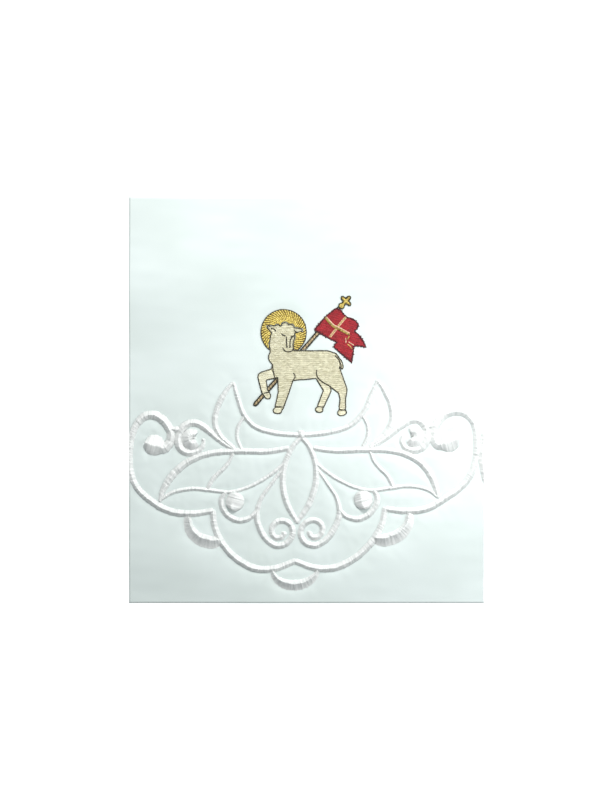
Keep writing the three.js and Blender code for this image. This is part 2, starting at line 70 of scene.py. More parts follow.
# How far the right volute is drawn in, the distance out where it is most, and its fading distance.
RIGHT_DRAW = 3
RIGHT_DRAW_OUT = 116
RIGHT_DRAW_REACH = 14

# Half of the ornament. A stroke's rows are its distance out from the axis, its height and its width.
STROKES = {
    "outer_volute": [
        (111.8, 22.8, 9.0), (107.4, 26.2, 7.6), (106.1, 31.8, 7.0), (107.0, 36.6, 7.0),
        (110.2, 41.8, 7.2), (115.2, 46.8, 7.4), (121.6, 49.5, 7.4), (128.2, 48.4, 7.0),
        (133.8, 43.0, 6.2), (136.8, 36.4, 5.6), (138.8, 24.0, 5.4), (137.9, 7.0, 5.2),
        (132.4, -7.2, 5.4), (119.5, -19.4, 5.8), (103.0, -28.0, 5.8), (85.3, -29.8, 5.4),
        (68.6, -27.8, 4.8),
    ],
    "bridge": [(106.2, 38.0, 4.2), (102.2, 37.8, 5.2), (98.2, 37.6, 4.2)],
    "inner_volute": [
        (53.0, 20.2, 3.4), (60.4, 24.6, 4.2), (68.0, 29.8, 4.8), (76.3, 36.8, 5.6),
        (85.7, 42.4, 6.1), (92.3, 42.2, 6.2), (97.4, 38.2, 6.4), (99.8, 31.2, 6.6),
        (99.0, 24.6, 6.8), (94.8, 20.0, 6.4), (88.3, 18.8, 5.6), (81.9, 21.2, 4.6),
        (79.2, 26.0, 3.6), (79.8, 30.4, 3.0),
    ],
    "flame_outer": [
        (57.6, 75.2, 2.2), (64.0, 66.0, 4.4), (69.4, 54.6, 4.8), (70.8, 42.4, 4.9),
        (66.2, 32.4, 4.6), (54.0, 21.6, 3.8),
    ],
    "garland": [
        (57.6, 75.2, 2.2), (54.4, 65.4, 3.8), (47.4, 48.6, 4.2), (38.4, 39.4, 4.4),
        (24.0, 34.4, 4.4), (8.0, 32.4, 4.2), (-1.0, 32.0, 4.2),
    ],
    "flame_inner": [(47.0, 47.4, 2.6), (51.6, 39.4, 3.2), (52.2, 30.6, 3.2), (48.0, 20.4, 3.0)],
    "petal_top": [
        (113.0, -19.6, 3.0), (110.2, -10.6, 5.2), (102.6, 1.8, 6.2), (90.0, 12.2, 5.8),
        (73.0, 18.2, 5.2), (50.0, 19.6, 5.2), (26.0, 19.2, 4.8), (9.6, 21.6, 4.4),
    ],
    "vein": [(54.4, 18.6, 2.8), (59.4, 8.6, 3.4), (69.6, -1.8, 3.8), (74.4, -10.6, 3.4)],
    "petal_low": [
        (113.0, -19.6, 2.6), (103.0, -13.0, 3.4), (87.0, -10.0, 3.4), (70.0, -11.6, 3.4),
        (56.0, -13.0, 3.2), (42.0, -9.6, 3.2), (26.0, -1.2, 3.4), (12.6, 9.2, 3.2),
    ],
    "comma": [
        (59.0, -11.8, 3.8), (62.4, -20.2, 4.8), (58.6, -29.8, 5.2), (49.0, -35.6, 5.2),
        (39.0, -34.0, 4.4), (32.6, -27.8, 3.2),
    ],
    "teardrop": [
        (13.4, 5.2, 2.8), (22.4, -7.0, 3.2), (30.6, -19.8, 3.8), (33.0, -32.8, 4.8),
        (28.6, -45.2, 5.3),
    ],
    "almond": [
        (-0.6, 31.0, 3.6), (6.8, 22.2, 4.4), (12.6, 7.0, 4.8), (13.0, -8.0, 5.2),
        (8.4, -24.0, 5.2), (-0.4, -38.4, 3.8),
    ],
    "big_arc": [
        (69.0, -26.8, 4.8), (67.0, -40.0, 5.4), (59.2, -55.0, 5.8), (46.4, -67.4, 6.0),
        (31.0, -74.6, 6.0), (15.6, -74.4, 5.4), (-0.8, -68.6, 4.8),
    ],
    "side_lobe": [
        (89.6, -32.0, 6.0), (87.4, -41.8, 8.6), (79.8, -49.8, 10.6), (69.8, -53.0, 10.8),
        (62.0, -52.6, 9.0),
    ],
    "centre_lobe": [(19.4, -75.0, 2.6), (15.4, -82.2, 6.0), (8.2, -87.0, 8.4), (-0.8, -88.6, 9.2)],
}

# The curl that ends the teardrop: a spiral about its eye.
CURL_OUT = 13.4
CURL_UP = -45.0
CURL_START_RADIUS = 12.0
CURL_END_RADIUS = 3.0
CURL_TIGHTENING = 1.25
CURL_START_HEADING = -41
CURL_TURN = -500
CURL_START_WIDTH = 5.4
CURL_END_WIDTH = 4.6
CURL_ROWS = 12

# The padded balls, and the bead at the top of the almond: out, up and radius.
BALLS = [(119.1, 25.2, 8.7), (88.1, 30.3, 8.2), (51.4, -20.6, 7.8)]
BEAD = (0, 32.4, 3.4)

# The heading of the crest of the outer ball and of the low one on the left half, in degrees, and how
# far the low one lies to the left. The ball between them is a curl: its first heading, its turn, and
# its axis and width in radii.
OUTER_CREST = -17
LOW_CREST = 74
LOW_SHIFT = 0.22
CURL_BALL = {"start": 320, "turn": -270, "axis": 0.44, "width": 1.5}

# The outer volute's thread starts inside its ball: out, up and width.
VOLUTE_ROOT = (118.6, 25.0, 7.6)

# Where the crest of a wide lobe runs: 0 is its middle and 1 its inner edge.
LOBE_CRESTS = {"side_lobe": 0.46, "centre_lobe": 0.4}

# How a stitch falls from its crest: below 1 it is full, and above 1 it is hollow.
CORD_FALL = 0.72
FULL_FALL = 0.56
HOLLOW_FALL = 1.35

# Padded stitch: how far it rises for its width, and the ridges that its threads lie in.
RISE_PER_WIDTH = 0.46
GREATEST_RISE = 4.8
RIDGE_PITCH = 0.9
RIDGE_DEPTH = 0.09
BUNDLE_PITCH = 0.9
BUNDLE_DEPTH = 0.2
RINGS_PER_RIDGE = 4
CORD_ARC_POINTS = 11
CORD_SINK = 0.3
ARC_SHARPNESS = 1.9
CORD_SPILL = 0.2
END_DRAW = 1.2
UNEVENNESS = 0.05

# The threads of a narrow cord lie aslant. From this width on they lie square to it.
CORD_SLANT = 0.16
WIDE_CORD = 9

# The emblem's limbs: each a rounded strip between two centres, x, y and radius at each.
TRUNK = [(-15.4, 27.4, 12.4, 15.6, 28.7, 11.1)]
NECK = [(-19.0, 33.0, 10.0, -20.4, 46.5, 9.4)]
WOOL_FOLDS = [
    (-24.6, 50.8, 4.6, -19.0, 50.8, 4.6),
    (-24.8, 44.0, 5.4, -19.4, 44.0, 5.4),
    (-24.8, 34.2, 6.0, -19.0, 34.2, 6.0),
    (-24.6, 25.4, 3.8, -19.0, 25.4, 3.8),
]
HEAD = [(-19.0, 51.8, 7.6, -16.4, 51.0, 7.4), (-15.6, 49.0, 5.8, -14.6, 42.8, 3.9)]
BROW_LOCKS = [
    (-27.0, 57.9, 2.4, -22.0, 55.0, 2.4),
    (-23.2, 58.4, 2.5, -20.0, 55.0, 2.5),
    (-17.2, 59.2, 3.3, -17.0, 55.0, 3.3),
    (-12.6, 58.0, 3.0, -14.0, 54.0, 3.0),
    (-9.8, 56.0, 2.3, -12.0, 53.0, 2.3),
]
EARS = [(-26.6, 55.7, 2.6, -30.8, 58.7, 1.2), (-8.4, 55.6, 2.5, -3.8, 56.0, 1.2)]
NEAR_FORELEG = [(-16.6, 19.0, 6.8, -18.4, 6.0, 4.5), (-18.4, 6.0, 4.5, -21.7, -5.4, 3.7)]
NEAR_FORE_HOOF = [(-24.6, -8.4, 2.5, -21.8, -8.7, 2.5)]
RAISED_FORELEG = [
    (-25.0, 21.6, 4.4, -35.2, 18.9, 3.8),
    (-35.8, 18.6, 3.5, -33.6, 7.6, 2.9),
    (-33.6, 7.6, 2.9, -31.0, 3.3, 2.8),
]
NEAR_HIND_LEG = [
    (17.6, 23.0, 9.6, 25.0, 13.2, 6.0),
    (25.0, 13.2, 6.0, 28.8, 8.0, 4.0),
    (28.8, 8.0, 4.0, 29.1, 0.6, 2.5),
    (29.1, 0.6, 2.5, 28.7, -6.2, 3.0),
]
NEAR_HIND_HOOF = [(27.2, -10.2, 2.7, 29.8, -9.8, 2.7)]
FAR_HIND_LEG = [(11.8, 18.4, 4.4, 16.8, 8.0, 3.3), (16.8, 8.0, 3.3, 11.4, -4.8, 2.8)]
FAR_HIND_HOOF = [(9.2, -7.6, 2.5, 11.0, -7.8, 2.5)]
TAIL = [(21.6, 34.6, 3.6, 26.6, 29.8, 2.4), (26.6, 29.8, 2.4, 28.3, 25.9, 1.5)]

# What one even fill of rows covers, and the parts behind it, each with its rows' heading in degrees.
NEAR_BODY = TRUNK + NECK + WOOL_FOLDS + HEAD + BROW_LOCKS + EARS + NEAR_FORELEG + NEAR_HIND_LEG
HOOVES = NEAR_FORE_HOOF + NEAR_HIND_HOOF
FAR_PARTS = [(RAISED_FORELEG, 8), (FAR_HIND_LEG + FAR_HIND_HOOF, -6), (TAIL, -48)]
LAMB = NEAR_BODY + HOOVES + RAISED_FORELEG + FAR_HIND_LEG + FAR_HIND_HOOF + TAIL
HALO_X = -18.3
HALO_Y = 54.3
HALO_RADIUS = 18.5

STAFF_HALF_WIDTH = 1.7
STAFF_FOOT = (-41.0, -3.4)
STAFF_KNOB = (28.0, 75.2, 2.4)
STAFF_TOP = (31.6, 79.2)
FINIAL_ARM = 3.6
FINIAL_HALF_WIDTH = 1.5

# The banner's corners, with how far the edge that follows each swells outwards at its middle.
BANNER = [
    (6.2, 56.2, 0.9), (23.2, 73.4, 0.4), (28.0, 71.6, -0.3), (32.4, 66.2, 1.5),
    (41.8, 60.2, 0.8), (38.2, 55.2, 1.6), (47.7, 41.8, -0.6), (38.0, 43.0, 0.2),
    (36.2, 29.8, 0.2), (21.4, 42.8, 0), (24.2, 46.2, 0.4),
]

# The cross on the banner: its long band, the short one beneath it, and threads on the tails.
LONG_BAND = [(15.4, 66.0), (18.0, 62.8), (21.6, 59.2), (24.8, 57.6), (28.8, 55.6), (34.6, 52.5)]
SHORT_BAND = [(31.4, 66.2), (26.4, 60.4), (22.8, 55.6), (18.6, 50.4)]
PALE_TAIL_LINES = [[(33.6, 46.4), (38.0, 43.8)], [(31.4, 49.8), (31.6, 45.6)]]
GOLD_TAIL_LINES = [[(32.8, 44.8), (35.6, 42.4), (36.6, 40.2)], [(34.4, 51.0), (32.6, 48.2)]]

# Lines of running stitch drawn on the lamb, in millimetres on the panel.
LAMB_LINES = {
    "left_eye": [(-20.1, 53.0), (-18.5, 52.1), (-16.7, 51.6)],
    "right_eye": [(-12.8, 50.7), (-11.2, 50.7), (-9.4, 52.0)],
    "left_lid": [(-19.4, 52.2), (-17.2, 51.2)],
    "right_lid": [(-12.4, 50.1), (-10.4, 50.6)],
    "nose_left": [(-16.0, 50.9), (-16.0, 48.6), (-16.0, 46.3), (-15.7, 42.6)],
    "nose_right": [(-12.0, 49.7), (-12.9, 48.0), (-13.1, 45.7), (-13.1, 42.6)],
    "mouth": [(-19.1, 41.7), (-17.4, 39.4), (-14.0, 38.5), (-11.1, 39.7), (-10.3, 41.7)],
    "left_ear": [(-28.6, 57.3), (-25.6, 56.8), (-24.7, 54.6)],
    "right_ear": [(-9.8, 56.2), (-8.6, 54.4), (-6.6, 54.0)],
    "chest": [(-27.2, 28.5), (-26.7, 23.6), (-25.7, 19.1), (-23.4, 14.0)],
    "foreleg": [(-10.4, 21.6), (-9.0, 19.1), (-10.1, 16.6), (-11.6, 14.4)],
    "thigh": [(8.2, 24.2), (8.0, 20.4), (9.8, 16.9), (14.6, 13.2), (19.6, 10.8)],
    "tail": [(23.0, 35.4), (25.6, 32.4), (27.4, 28.4), (27.8, 25.2)],
    "near_hoof": [(-25.4, -5.3), (-18.8, -5.5)],
    "hind_hoof": [(25.6, -8.0), (31.8, -8.0)],
    "far_hoof": [(8.6, -5.2), (13.8, -5.6)],
    "raised_hoof": [(-34.2, 5.2), (-29.6, 6.6)],
}
NOSTRILS = [(-16.3, 42.5, -15.1, 42.2), (-13.8, 42.3, -12.8, 42.4)]

# Embroidery thread: the strand's half width and half height, and the spacing of its rows.
STRAND_HALF_WIDTH = 0.26
STRAND_HALF_HEIGHT = 0.17
ROW_PITCH = 0.45
STITCH_LENGTH = 3.6
SHORTEST_STITCH = 0.7
LINE_STEP = 0.12
ROW_CYCLE = (0.0, 0.37, 0.71, 0.17, 0.54)
DASH_LENGTH = 1.75
DASH_GIRTH = 0.46 / STRAND_HALF_WIDTH
WOOL_BAND = 1.6
WOOL_WAVE = 0.3
WOOL_WAVELENGTH = 24
WOOL_STITCH = 2.6
LEG_TOP = 13
# How deep the painted shade between the wool's rows is: on the legs below LEG_TOP, and on the body.
LEG_SHADE = 0.32
WOOL_SHADE = 0.18
HALO_PITCH = 0.95
HALO_STITCH = 3.4
HALO_SWIRL = 0.04
SPOKE_CYCLE = (0.0, 0.5, 0.25, 0.75)
FILL_RAISED = 0.14
OUTLINE_RAISED = 0.42
# The bed under a fill is dark: painted shade between the rows.
UNDERLAY_SHADE_TONE = 0.1
UNDERLAY_PITCH = 0.6
OUTLINE_INSET = 0.35
STRAND_SIDES = 6
STRAND_STATIONS = np.array([0.0, 0.05, 0.2, 0.5, 0.8, 0.95, 1.0])
STRAND_GIRTH = np.array([0.35, 0.8, 1.0, 1.0, 1.0, 0.8, 0.35])
STRAND_LIFT = np.array([-1.0, -0.2, 0.8, 1.0, 0.8, -0.2, -1.0])

# Fine relief of the satin
SATIN_PITCH = 1.5
PILLOW_HEIGHT = 0.5
PUCKER_HEIGHT = 0.16
PUCKER_SPACING = 11.0
PUCKER_SHIFT = 37
BROAD_HEIGHT = 0.35
FINE_HEIGHT = 0.10
GUTTER_DEPTH = 0.22
LOWEST_RELIEF = -0.45
CALM_REACH = 6

# The camera looks straight down from where the photograph was taken.
LENS = 85
SENSOR = 36
FRAME_LENGTH = 640

# The lights, in metres: where each stands, what it is aimed at, its size, its power and its colour.
LIGHTS = {
    "key": ((0.08, 0.65, 0.77), (0, 0, 0), 0.17, 8.8, (1.0, 1.0, 0.98)),
    "side_fill": ((0.42, 0.02, 0.34), (0.12, 0, 0), 0.3, 1.2, (0.98, 1.0, 1.0)),
    "right_wash": ((0.125, 0.005, 0.13), (0.12, 0, 0), 0.08, 0.05, (0.98, 1.0, 1.0)),
}
SKY_COLOUR = (0.93, 0.98, 1.0, 1)
SKY_STRENGTH = 0.35

# The threads: the colour of their darkest and lightest stitches, their
# roughness, and for white its sheen.
THREADS = {
    "white": ((0.76, 0.78, 0.77), (0.98, 0.99, 0.98), 0.36, 0.05),
    "beige": ((0.47, 0.43, 0.26), (1.0, 0.97, 0.76), 0.5),
    "gold": ((0.16, 0.085, 0.01), (1.0, 0.80, 0.20), 0.36),
    "brass": ((0.16, 0.10, 0.035), (0.74, 0.58, 0.34), 0.4),
    "rose": ((0.56, 0.22, 0.12), (0.95, 0.66, 0.46), 0.45),
    "red": ((0.20, 0.005, 0.01), (0.56, 0.02, 0.035), 0.5),
    "maroon": ((0.02, 0.002, 0.006), (0.14, 0.01, 0.02), 0.5),
    "dark": ((0.012, 0.011, 0.006), (0.13, 0.115, 0.07), 0.5),
}
THREAD_PLY = 0.32
SATIN_SHADES = ((0.65, 0.72, 0.70), (0.70, 0.77, 0.76))
BUMP_DISTANCE = 0.00004


def lift_at(x, y):
    """How high the cloth's underside is lifted at places on the panel."""
    lift = np.zeros(np.shape(x))
    for x0, y0, long, wide, heading, height in SWELLS:
        turn = math.radians(heading)
        along = ((x - x0) * math.cos(turn) + (y - y0) * math.sin(turn)) / long
        across = ((y - y0) * math.cos(turn) - (x - x0) * math.sin(turn)) / wide
        lift = lift + height * np.exp(-along**2 - across**2)
    return np.maximum(0, lift - CONTACT_LIFT)


def face_at(x, y):
    """The height of the cloth's smooth face."""
    return lift_at(x, y) + CLOTH_THICKNESS


def waves(x, y, count, shortest, longest, flatness, seed):
    """Soft uneven waves between -1 and 1. Flatness above 1 draws them out along X."""
    rng = np.random.default_rng(seed)
    total = np.zeros(np.shape(x))
    for _ in range(count):
        length = rng.uniform(shortest, longest)
        heading = rng.uniform(0, math.pi)
        phase = rng.uniform(0, math.tau)
        along = x * math.cos(heading) / flatness + y * math.sin(heading)
        total = total + np.sin(math.tau * along / length + phase)
    return total / math.sqrt(count) / 1.5


class Stock:
    """Points, faces and values per point, gathered for one piece."""

    def __init__(self):
        self.points = []
        self.quads = []
        self.values = {"tone": [], "run": []}
        self.count = 0

    def add(self, points, quads, tone, run):
        self.points.append(points)
        self.quads.append(quads + self.count)
        self.values["tone"].append(np.broadcast_to(tone, len(points)))
        self.values["run"].append(np.broadcast_to(run, len(points)))
        self.count += len(points)

    def piece(self, name, material, slot, replaced=()):
        mesh = bpy.data.meshes.new(name)
        mesh.from_pydata(np.concatenate(self.points) * MM, [], np.concatenate(self.quads))
        mesh.shade_smooth()
        for key, parts in self.values.items():
            attribute = mesh.attributes.new(key, "FLOAT", "POINT")
            attribute.data.foreach_set("value", np.concatenate(parts).astype(np.float32))
        piece = bpy.data.objects.new(name, mesh)
        scene.collection.objects.link(piece)
        piece.data.materials.append(material)
        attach(piece, "root")
        if replaced:
            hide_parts(*replaced)
        return piece


def smooth_run(rows, samples=24):
    """Places along a centripetal Catmull-Rom curve through the rows."""
    knots = np.array(rows, float)
    first = 2 * knots[0] - knots[1]
    last = 2 * knots[-1] - knots[-2]
    held = np.vstack([first, knots, last])
    share = np.linspace(0, 1, samples, endpoint=False)[:, None]
    places = []
    for before, start, end, after in zip(held, held[1:], held[2:], held[3:]):
        gap_before = math.sqrt(np.linalg.norm(start - before))
        gap = math.sqrt(np.linalg.norm(end - start))
        gap_after = math.sqrt(np.linalg.norm(after - end))
        leaving = (start - before) / gap_before + (end - start) / gap
        leaving = (leaving - (end - before) / (gap_before + gap)) * gap
        arriving = (end - start) / gap + (after - end) / gap_after
        arriving = (arriving - (after - start) / (gap + gap_after)) * gap
        square = -3 * start + 3 * end - 2 * leaving - arriving
        cube = 2 * start - 2 * end + leaving + arriving
        places.append(start + leaving * share + square * share**2 + cube * share**3)
    return np.vstack([*places, knots[-1:]])


def ornament_place(out, up, side):
    """A point of the ornament's frame on the panel. Side is -1 on its left half, 1 on its right."""
    drawn = RIGHT_DRAW * math.exp(-(((out - RIGHT_DRAW_OUT) / RIGHT_DRAW_REACH) ** 2))
    across = -out * LEFT_STRETCH if side < 0 else (out - drawn) * RIGHT_STRETCH
    return ORNAMENT_X + across + ORNAMENT_LEAN * up, ORNAMENT_Y + up + ORNAMENT_CLIMB * across


def stroke_places(rows, side, shift=0):
    """The places of a stroke on one half of the panel, each with the stroke's width there."""
    knots = []
    for out, up, width in rows:
        x, y = ornament_place(out, up, side)
        knots.append((x + shift, y, width))
    return smooth_run(knots)


def curl_rows():
    """The rows of the spiral that ends the teardrop."""
    rows = []
    for i in range(CURL_ROWS + 1):
        share = i / CURL_ROWS
        heading = math.radians(CURL_START_HEADING + CURL_TURN * share)
        closed = share**CURL_TIGHTENING
        radius = CURL_START_RADIUS + (CURL_END_RADIUS - CURL_START_RADIUS) * closed
        width = CURL_START_WIDTH + (CURL_END_WIDTH - CURL_START_WIDTH) * share
        out = CURL_OUT + radius * math.cos(heading)
        rows.append((out, CURL_UP + radius * math.sin(heading), width))
    return rows


def measured(line):
    """The distance along a line of places at each of them."""
    steps = np.linalg.norm(np.diff(line[:, :2], axis=0), axis=1)
    return np.concatenate([[0], np.cumsum(steps)])


def resampled(line, at):
    """The places of a line at the distances given, with all that they carry."""
    along = measured(line)
    return np.stack([np.interp(at, along, line[:, k]) for k in range(line.shape[1])], axis=1)


def stepped(line, step):
    """Places along a line, a step apart."""
    return resampled(line, np.arange(0, measured(line)[-1], step))


def stretches(shown):
    """The first place of every stretch that is shown, and the place after its last."""
    edges = np.flatnonzero(np.diff(np.concatenate([[0], shown.astype(int), [0]])))
    return zip(edges[::2], edges[1::2])


def grid_quads(columns, rows):
    """The faces of a grid of points that run row by row."""
    row, column = np.indices((rows, columns))
    a = (row * (columns + 1) + column).ravel()
    return np.stack([a, a + 1, a + columns + 2, a + columns + 1], axis=-1)


def left_of(ahead):
    """Unit vectors to the left of some directions."""
    ahead = ahead / np.maximum(np.linalg.norm(ahead, axis=1), 1e-6)[:, None]
    return np.stack([-ahead[:, 1], ahead[:, 0]], axis=1)


def tube_quads(tubes, rings, sides):
    """The faces of closed tubes whose points run tube by tube, ring by ring and side by side."""
    tube, ring, side = np.indices((tubes, rings - 1, sides))
    start = (tube * rings + ring) * sides
    turned = (side + 1) % sides
    walls = [start + side, start + turned, start + turned + sides, start + side + sides]
    first = np.arange(tubes)[:, None] * rings * sides
    last = first + (rings - 1) * sides
    fan = np.arange(1, sides - 2, 2)
    near = [first + 0 * fan, first + fan + 2, first + fan + 1, first + fan]
    far = [last + 0 * fan, last + fan, last + fan + 1, last + fan + 2]
    return np.concatenate([np.stack(part, axis=-1).reshape(-1, 4) for part in (walls, near, far)])


def along_noise(at, pitch, rng):
    """Uneven values along a run, smooth between knots a pitch apart."""
    knots = np.arange(0, at[-1] + 2 * pitch, pitch)
    return np.interp(at, knots, rng.standard_normal(len(knots)))


def add_cord(stock, places, crest, fall, seed):
    """A padded stitch: a ridged back that falls from a crest to both edges.

    Crest is where its highest line runs, from -1 at the right edge to 1 at the left one. Fall is
    the power of its drop to the edges.
    """
    rng = np.random.default_rng(seed)
    length = measured(places)[-1]
    ridges = max(4, round(length / RIDGE_PITCH))
    rings = ridges * RINGS_PER_RIDGE + 1
    at = np.linspace(0, length, rings)
    centre = resampled(places, at)
    ahead = resampled(places, np.minimum(at + 0.5, length))
    behind = resampled(places, np.maximum(at - 0.5, 0))
    left = left_of((ahead - behind)[:, :2])
    tangent = np.stack([left[:, 1], -left[:, 0]], axis=1)
    width = centre[:, 2]
    ridge = np.minimum(np.arange(rings) // RINGS_PER_RIDGE, ridges - 1)
    profile = -np.cos(math.tau * np.arange(rings) / RINGS_PER_RIDGE)
    bundles = along_noise(at, BUNDLE_PITCH, rng)
    swell = RIDGE_DEPTH * rng.uniform(0.5, 1.5, ridges)[ridge] * profile + BUNDLE_DEPTH * bundles
    spill = 1 + CORD_SPILL * along_noise(at, BUNDLE_PITCH, rng) / np.maximum(width, 5)
    # Free ends are drawn in over a short way.
    from_end = np.minimum(1, np.minimum(at, length - at) / min(END_DRAW, length / 30))
    drawn = np.sqrt(np.clip(1 - (1 - from_end) ** 2, 0.03, 1))
    slow = 1 + UNEVENNESS * along_noise(at, 4, rng)
    rise = np.minimum(GREATEST_RISE, width * RISE_PER_WIDTH) * drawn * slow + CORD_SINK * 2
    cosine = np.cos(np.linspace(0, math.pi, CORD_ARC_POINTS))
    from_crest = np.sign(cosine) * np.abs(cosine) ** ARC_SHARPNESS
    wander = (crest + UNEVENNESS * along_noise(at, 3, rng))[:, None]
    aside = wander + (1 - np.sign(from_crest) * wander) * from_crest
    reach = (width / 2 * drawn * spill)[:, None] * aside
    roof = (1 - np.abs(from_crest)) ** fall
    xy = centre[:, None, :2] + left[:, None] * reach[..., None]
    slant = CORD_SLANT * np.clip((WIDE_CORD - width) / 2, 0, 1)
    xy = xy + tangent[:, None] * (slant[:, None] * reach)[..., None]
    base = face_at(xy[..., 0], xy[..., 1]) - CORD_SINK
    height = base + rise[:, None] * roof + swell[:, None] * np.sqrt(roof)
    points = np.concatenate([xy, height[..., None]], axis=2).reshape(-1, 3)
    # Tone differs at random from ridge to ridge, and is also darker where a bundle of threads sinks:
    # painted shade in the valleys between bundles.
    tone = 0.5 + 0.22 * bundles + rng.uniform(-0.2, 0.2, ridges)[ridge]
    tone = np.repeat(np.clip(tone, 0, 1), CORD_ARC_POINTS)
    run = np.repeat(at, CORD_ARC_POINTS)
    stock.add(points, tube_quads(1, rings, CORD_ARC_POINTS), tone, run)


def add_strands(stock, starts, ends, tone, arch, girth, raised):
    """Single stitches of thread between pairs of places, each arched between its ends."""
    starts = np.array(starts, float).reshape(-1, 2)
    ends = np.array(ends, float).reshape(-1, 2)
    count = len(starts)
    share = STRAND_STATIONS[None, :, None]
    axis = starts[:, None] * (1 - share) + ends[:, None] * share
    length = np.linalg.norm(ends - starts, axis=1)
    left = left_of(ends - starts)
    angle = math.tau * np.arange(STRAND_SIDES) / STRAND_SIDES
    girth = np.broadcast_to(girth, count)[:, None, None]
    aside = STRAND_HALF_WIDTH * girth * STRAND_GIRTH[None, :, None] * np.cos(angle)
    above = STRAND_HALF_HEIGHT * girth * STRAND_GIRTH[None, :, None] * np.sin(angle)
    xy = axis[:, :, None] + left[:, None, None] * aside[..., None]
    crest = face_at(axis[..., 0], axis[..., 1]) + raised
    crest = crest + np.broadcast_to(arch, count)[:, None] * STRAND_LIFT
    height = crest[:, :, None] + above
    points = np.concatenate([xy, height[..., None]], axis=3).reshape(-1, 3)
    stations = len(STRAND_STATIONS)
    run = np.repeat((STRAND_STATIONS * length[:, None]).ravel(), STRAND_SIDES)
    tone = np.repeat(np.broadcast_to(np.clip(tone, 0, 1), count), stations * STRAND_SIDES)
    stock.add(points, tube_quads(count, stations, STRAND_SIDES), tone, run)


def limb_distance(x, y, limb):
    """The distance outside a limb's edge, negative inside it."""
    x1, y1, r1, x2, y2, r2 = limb
    span = math.hypot(x2 - x1, y2 - y1)
    ux, uy = (x2 - x1) / span, (y2 - y1) / span
    along = (x - x1) * ux + (y - y1) * uy
    aside = np.abs((y - y1) * ux - (x - x1) * uy)
    taper = (r1 - r2) / span
    level = math.sqrt(1 - taper**2)
    reach = along * level - aside * taper
    side = aside * level + along * taper - r1
    start = np.hypot(along, aside) - r1
    end = np.hypot(along - span, aside) - r2
    return np.where(reach < 0, start, np.where(reach > span * level, end, side))


def limbs_distance(x, y, limbs):
    return np.min([limb_distance(x, y, limb) for limb in limbs], axis=0)


def polygon_distance(x, y, corners):
    """The distance outside a polygon's edge, negative inside it."""
    nearest = np.full(np.shape(x), np.inf)
    inside = np.zeros(np.shape(x), bool)
    for (x1, y1), (x2, y2) in zip(corners, np.roll(corners, -1, axis=0)):
        ex, ey = x2 - x1, y2 - y1
        share = np.clip(((x - x1) * ex + (y - y1) * ey) / (ex**2 + ey**2), 0, 1)
        nearest = np.minimum(nearest, np.hypot(x - x1 - share * ex, y - y1 - share * ey))
        crosses = (y1 > y) != (y2 > y)
        cut = x1 + (y - y1) * ex / (ey if ey else 1e-9)
        inside ^= crosses & (x < cut)
    return np.where(inside, -nearest, nearest)


def banner_outline():
    """The banner's corners with the points of its curved edges between them."""
    share = np.linspace(0, 1, 8, endpoint=False)[:, None]
    points = []
    for (x1, y1, bulge), (x2, y2, _) in zip(BANNER, BANNER[1:] + BANNER[:1]):
        start, end = np.array((x1, y1)), np.array((x2, y2))
        reach = 2 * bulge / math.hypot(x2 - x1, y2 - y1)
        handle = (start + end) / 2 + np.array((y1 - y2, x2 - x1)) * reach
        near, far = (1 - share) ** 2, share**2
        points.append(near * start + 2 * share * (1 - share) * handle + far * end)
    return np.vstack(points)


def limb_outline(limb, inset):
    """Places round a limb's edge, drawn in by the inset."""
    x1, y1, r1, x2, y2, r2 = limb
    heading = math.atan2(y2 - y1, x2 - x1)
    spread = math.acos((r1 - r2) / math.hypot(x2 - x1, y2 - y1))
    far = heading + np.linspace(-spread, spread, 24)
    near = heading + np.linspace(spread, math.tau - spread, 24)
    rim = [(x2 + (r2 - inset) * math.cos(a), y2 + (r2 - inset) * math.sin(a)) for a in far]
    rim += [(x1 + (r1 - inset) * math.cos(a), y1 + (r1 - inset) * math.sin(a)) for a in near]
    return np.array(rim + rim[:1])


def shown_runs(line, keep):
    """The stretches of a line at whose places keep is true."""
    line = stepped(line, 0.15)
    return [line[a:b] for a, b in stretches(keep(line[:, 0], line[:, 1])) if b - a > 5]


def add_dashes(stock, line, tone, seed, dash=DASH_LENGTH, girth=DASH_GIRTH, raised=OUTLINE_RAISED):
    """A running stitch along a line, its dashes meeting end to end."""
    rng = np.random.default_rng(seed)
    length = measured(line)[-1]
    count = max(1, round(length / dash))
    at = np.linspace(0, length, count + 1)
    knots = resampled(line, at)[:, :2] + rng.normal(0, 0.05, (count + 1, 2))
    step = knots[1:] - knots[:-1]
    overlap = 0.03 * step
    thick = girth * rng.uniform(0.88, 1.12, count)
    tones = tone + rng.uniform(-0.3, 0.3, count)
    add_strands(stock, knots[:-1] - overlap, knots[1:] + overlap, tones, 0.16, thick, raised)


def stitch_lines(lines, shape, stitch, cycle, rng):
    """Stitches along lines, within a shape: their starts, their ends and their lines' numbers.

    Cycle is how far the stitches are shifted from line to line, in stitches.
    """
    starts, ends, numbers = [], [], []
    for number, line in enumerate(lines):
        offset = cycle[number % len(cycle)] * stitch
        along = measured(line)
        for a, b in stretches(shape(line[:, 0], line[:, 1]) < 0):
            low, high = along[a], along[b - 1]
            if high - low < SHORTEST_STITCH:
                continue
            first = math.ceil((low - offset) / stitch) * stitch + offset
            cuts = np.arange(first, high, stitch)
            cuts = cuts + rng.normal(0, 0.12, len(cuts))
            cuts = cuts[(cuts > low + 0.3 * stitch) & (cuts < high - 0.3 * stitch)]
            knots = resampled(line, np.concatenate([[low], cuts, [high]]))
            starts.extend(knots[:-1])
            ends.extend(knots[1:])
            numbers.extend([number] * (len(knots) - 1))
    return np.array(starts).reshape(-1, 2), np.array(ends).reshape(-1, 2), np.array(numbers)


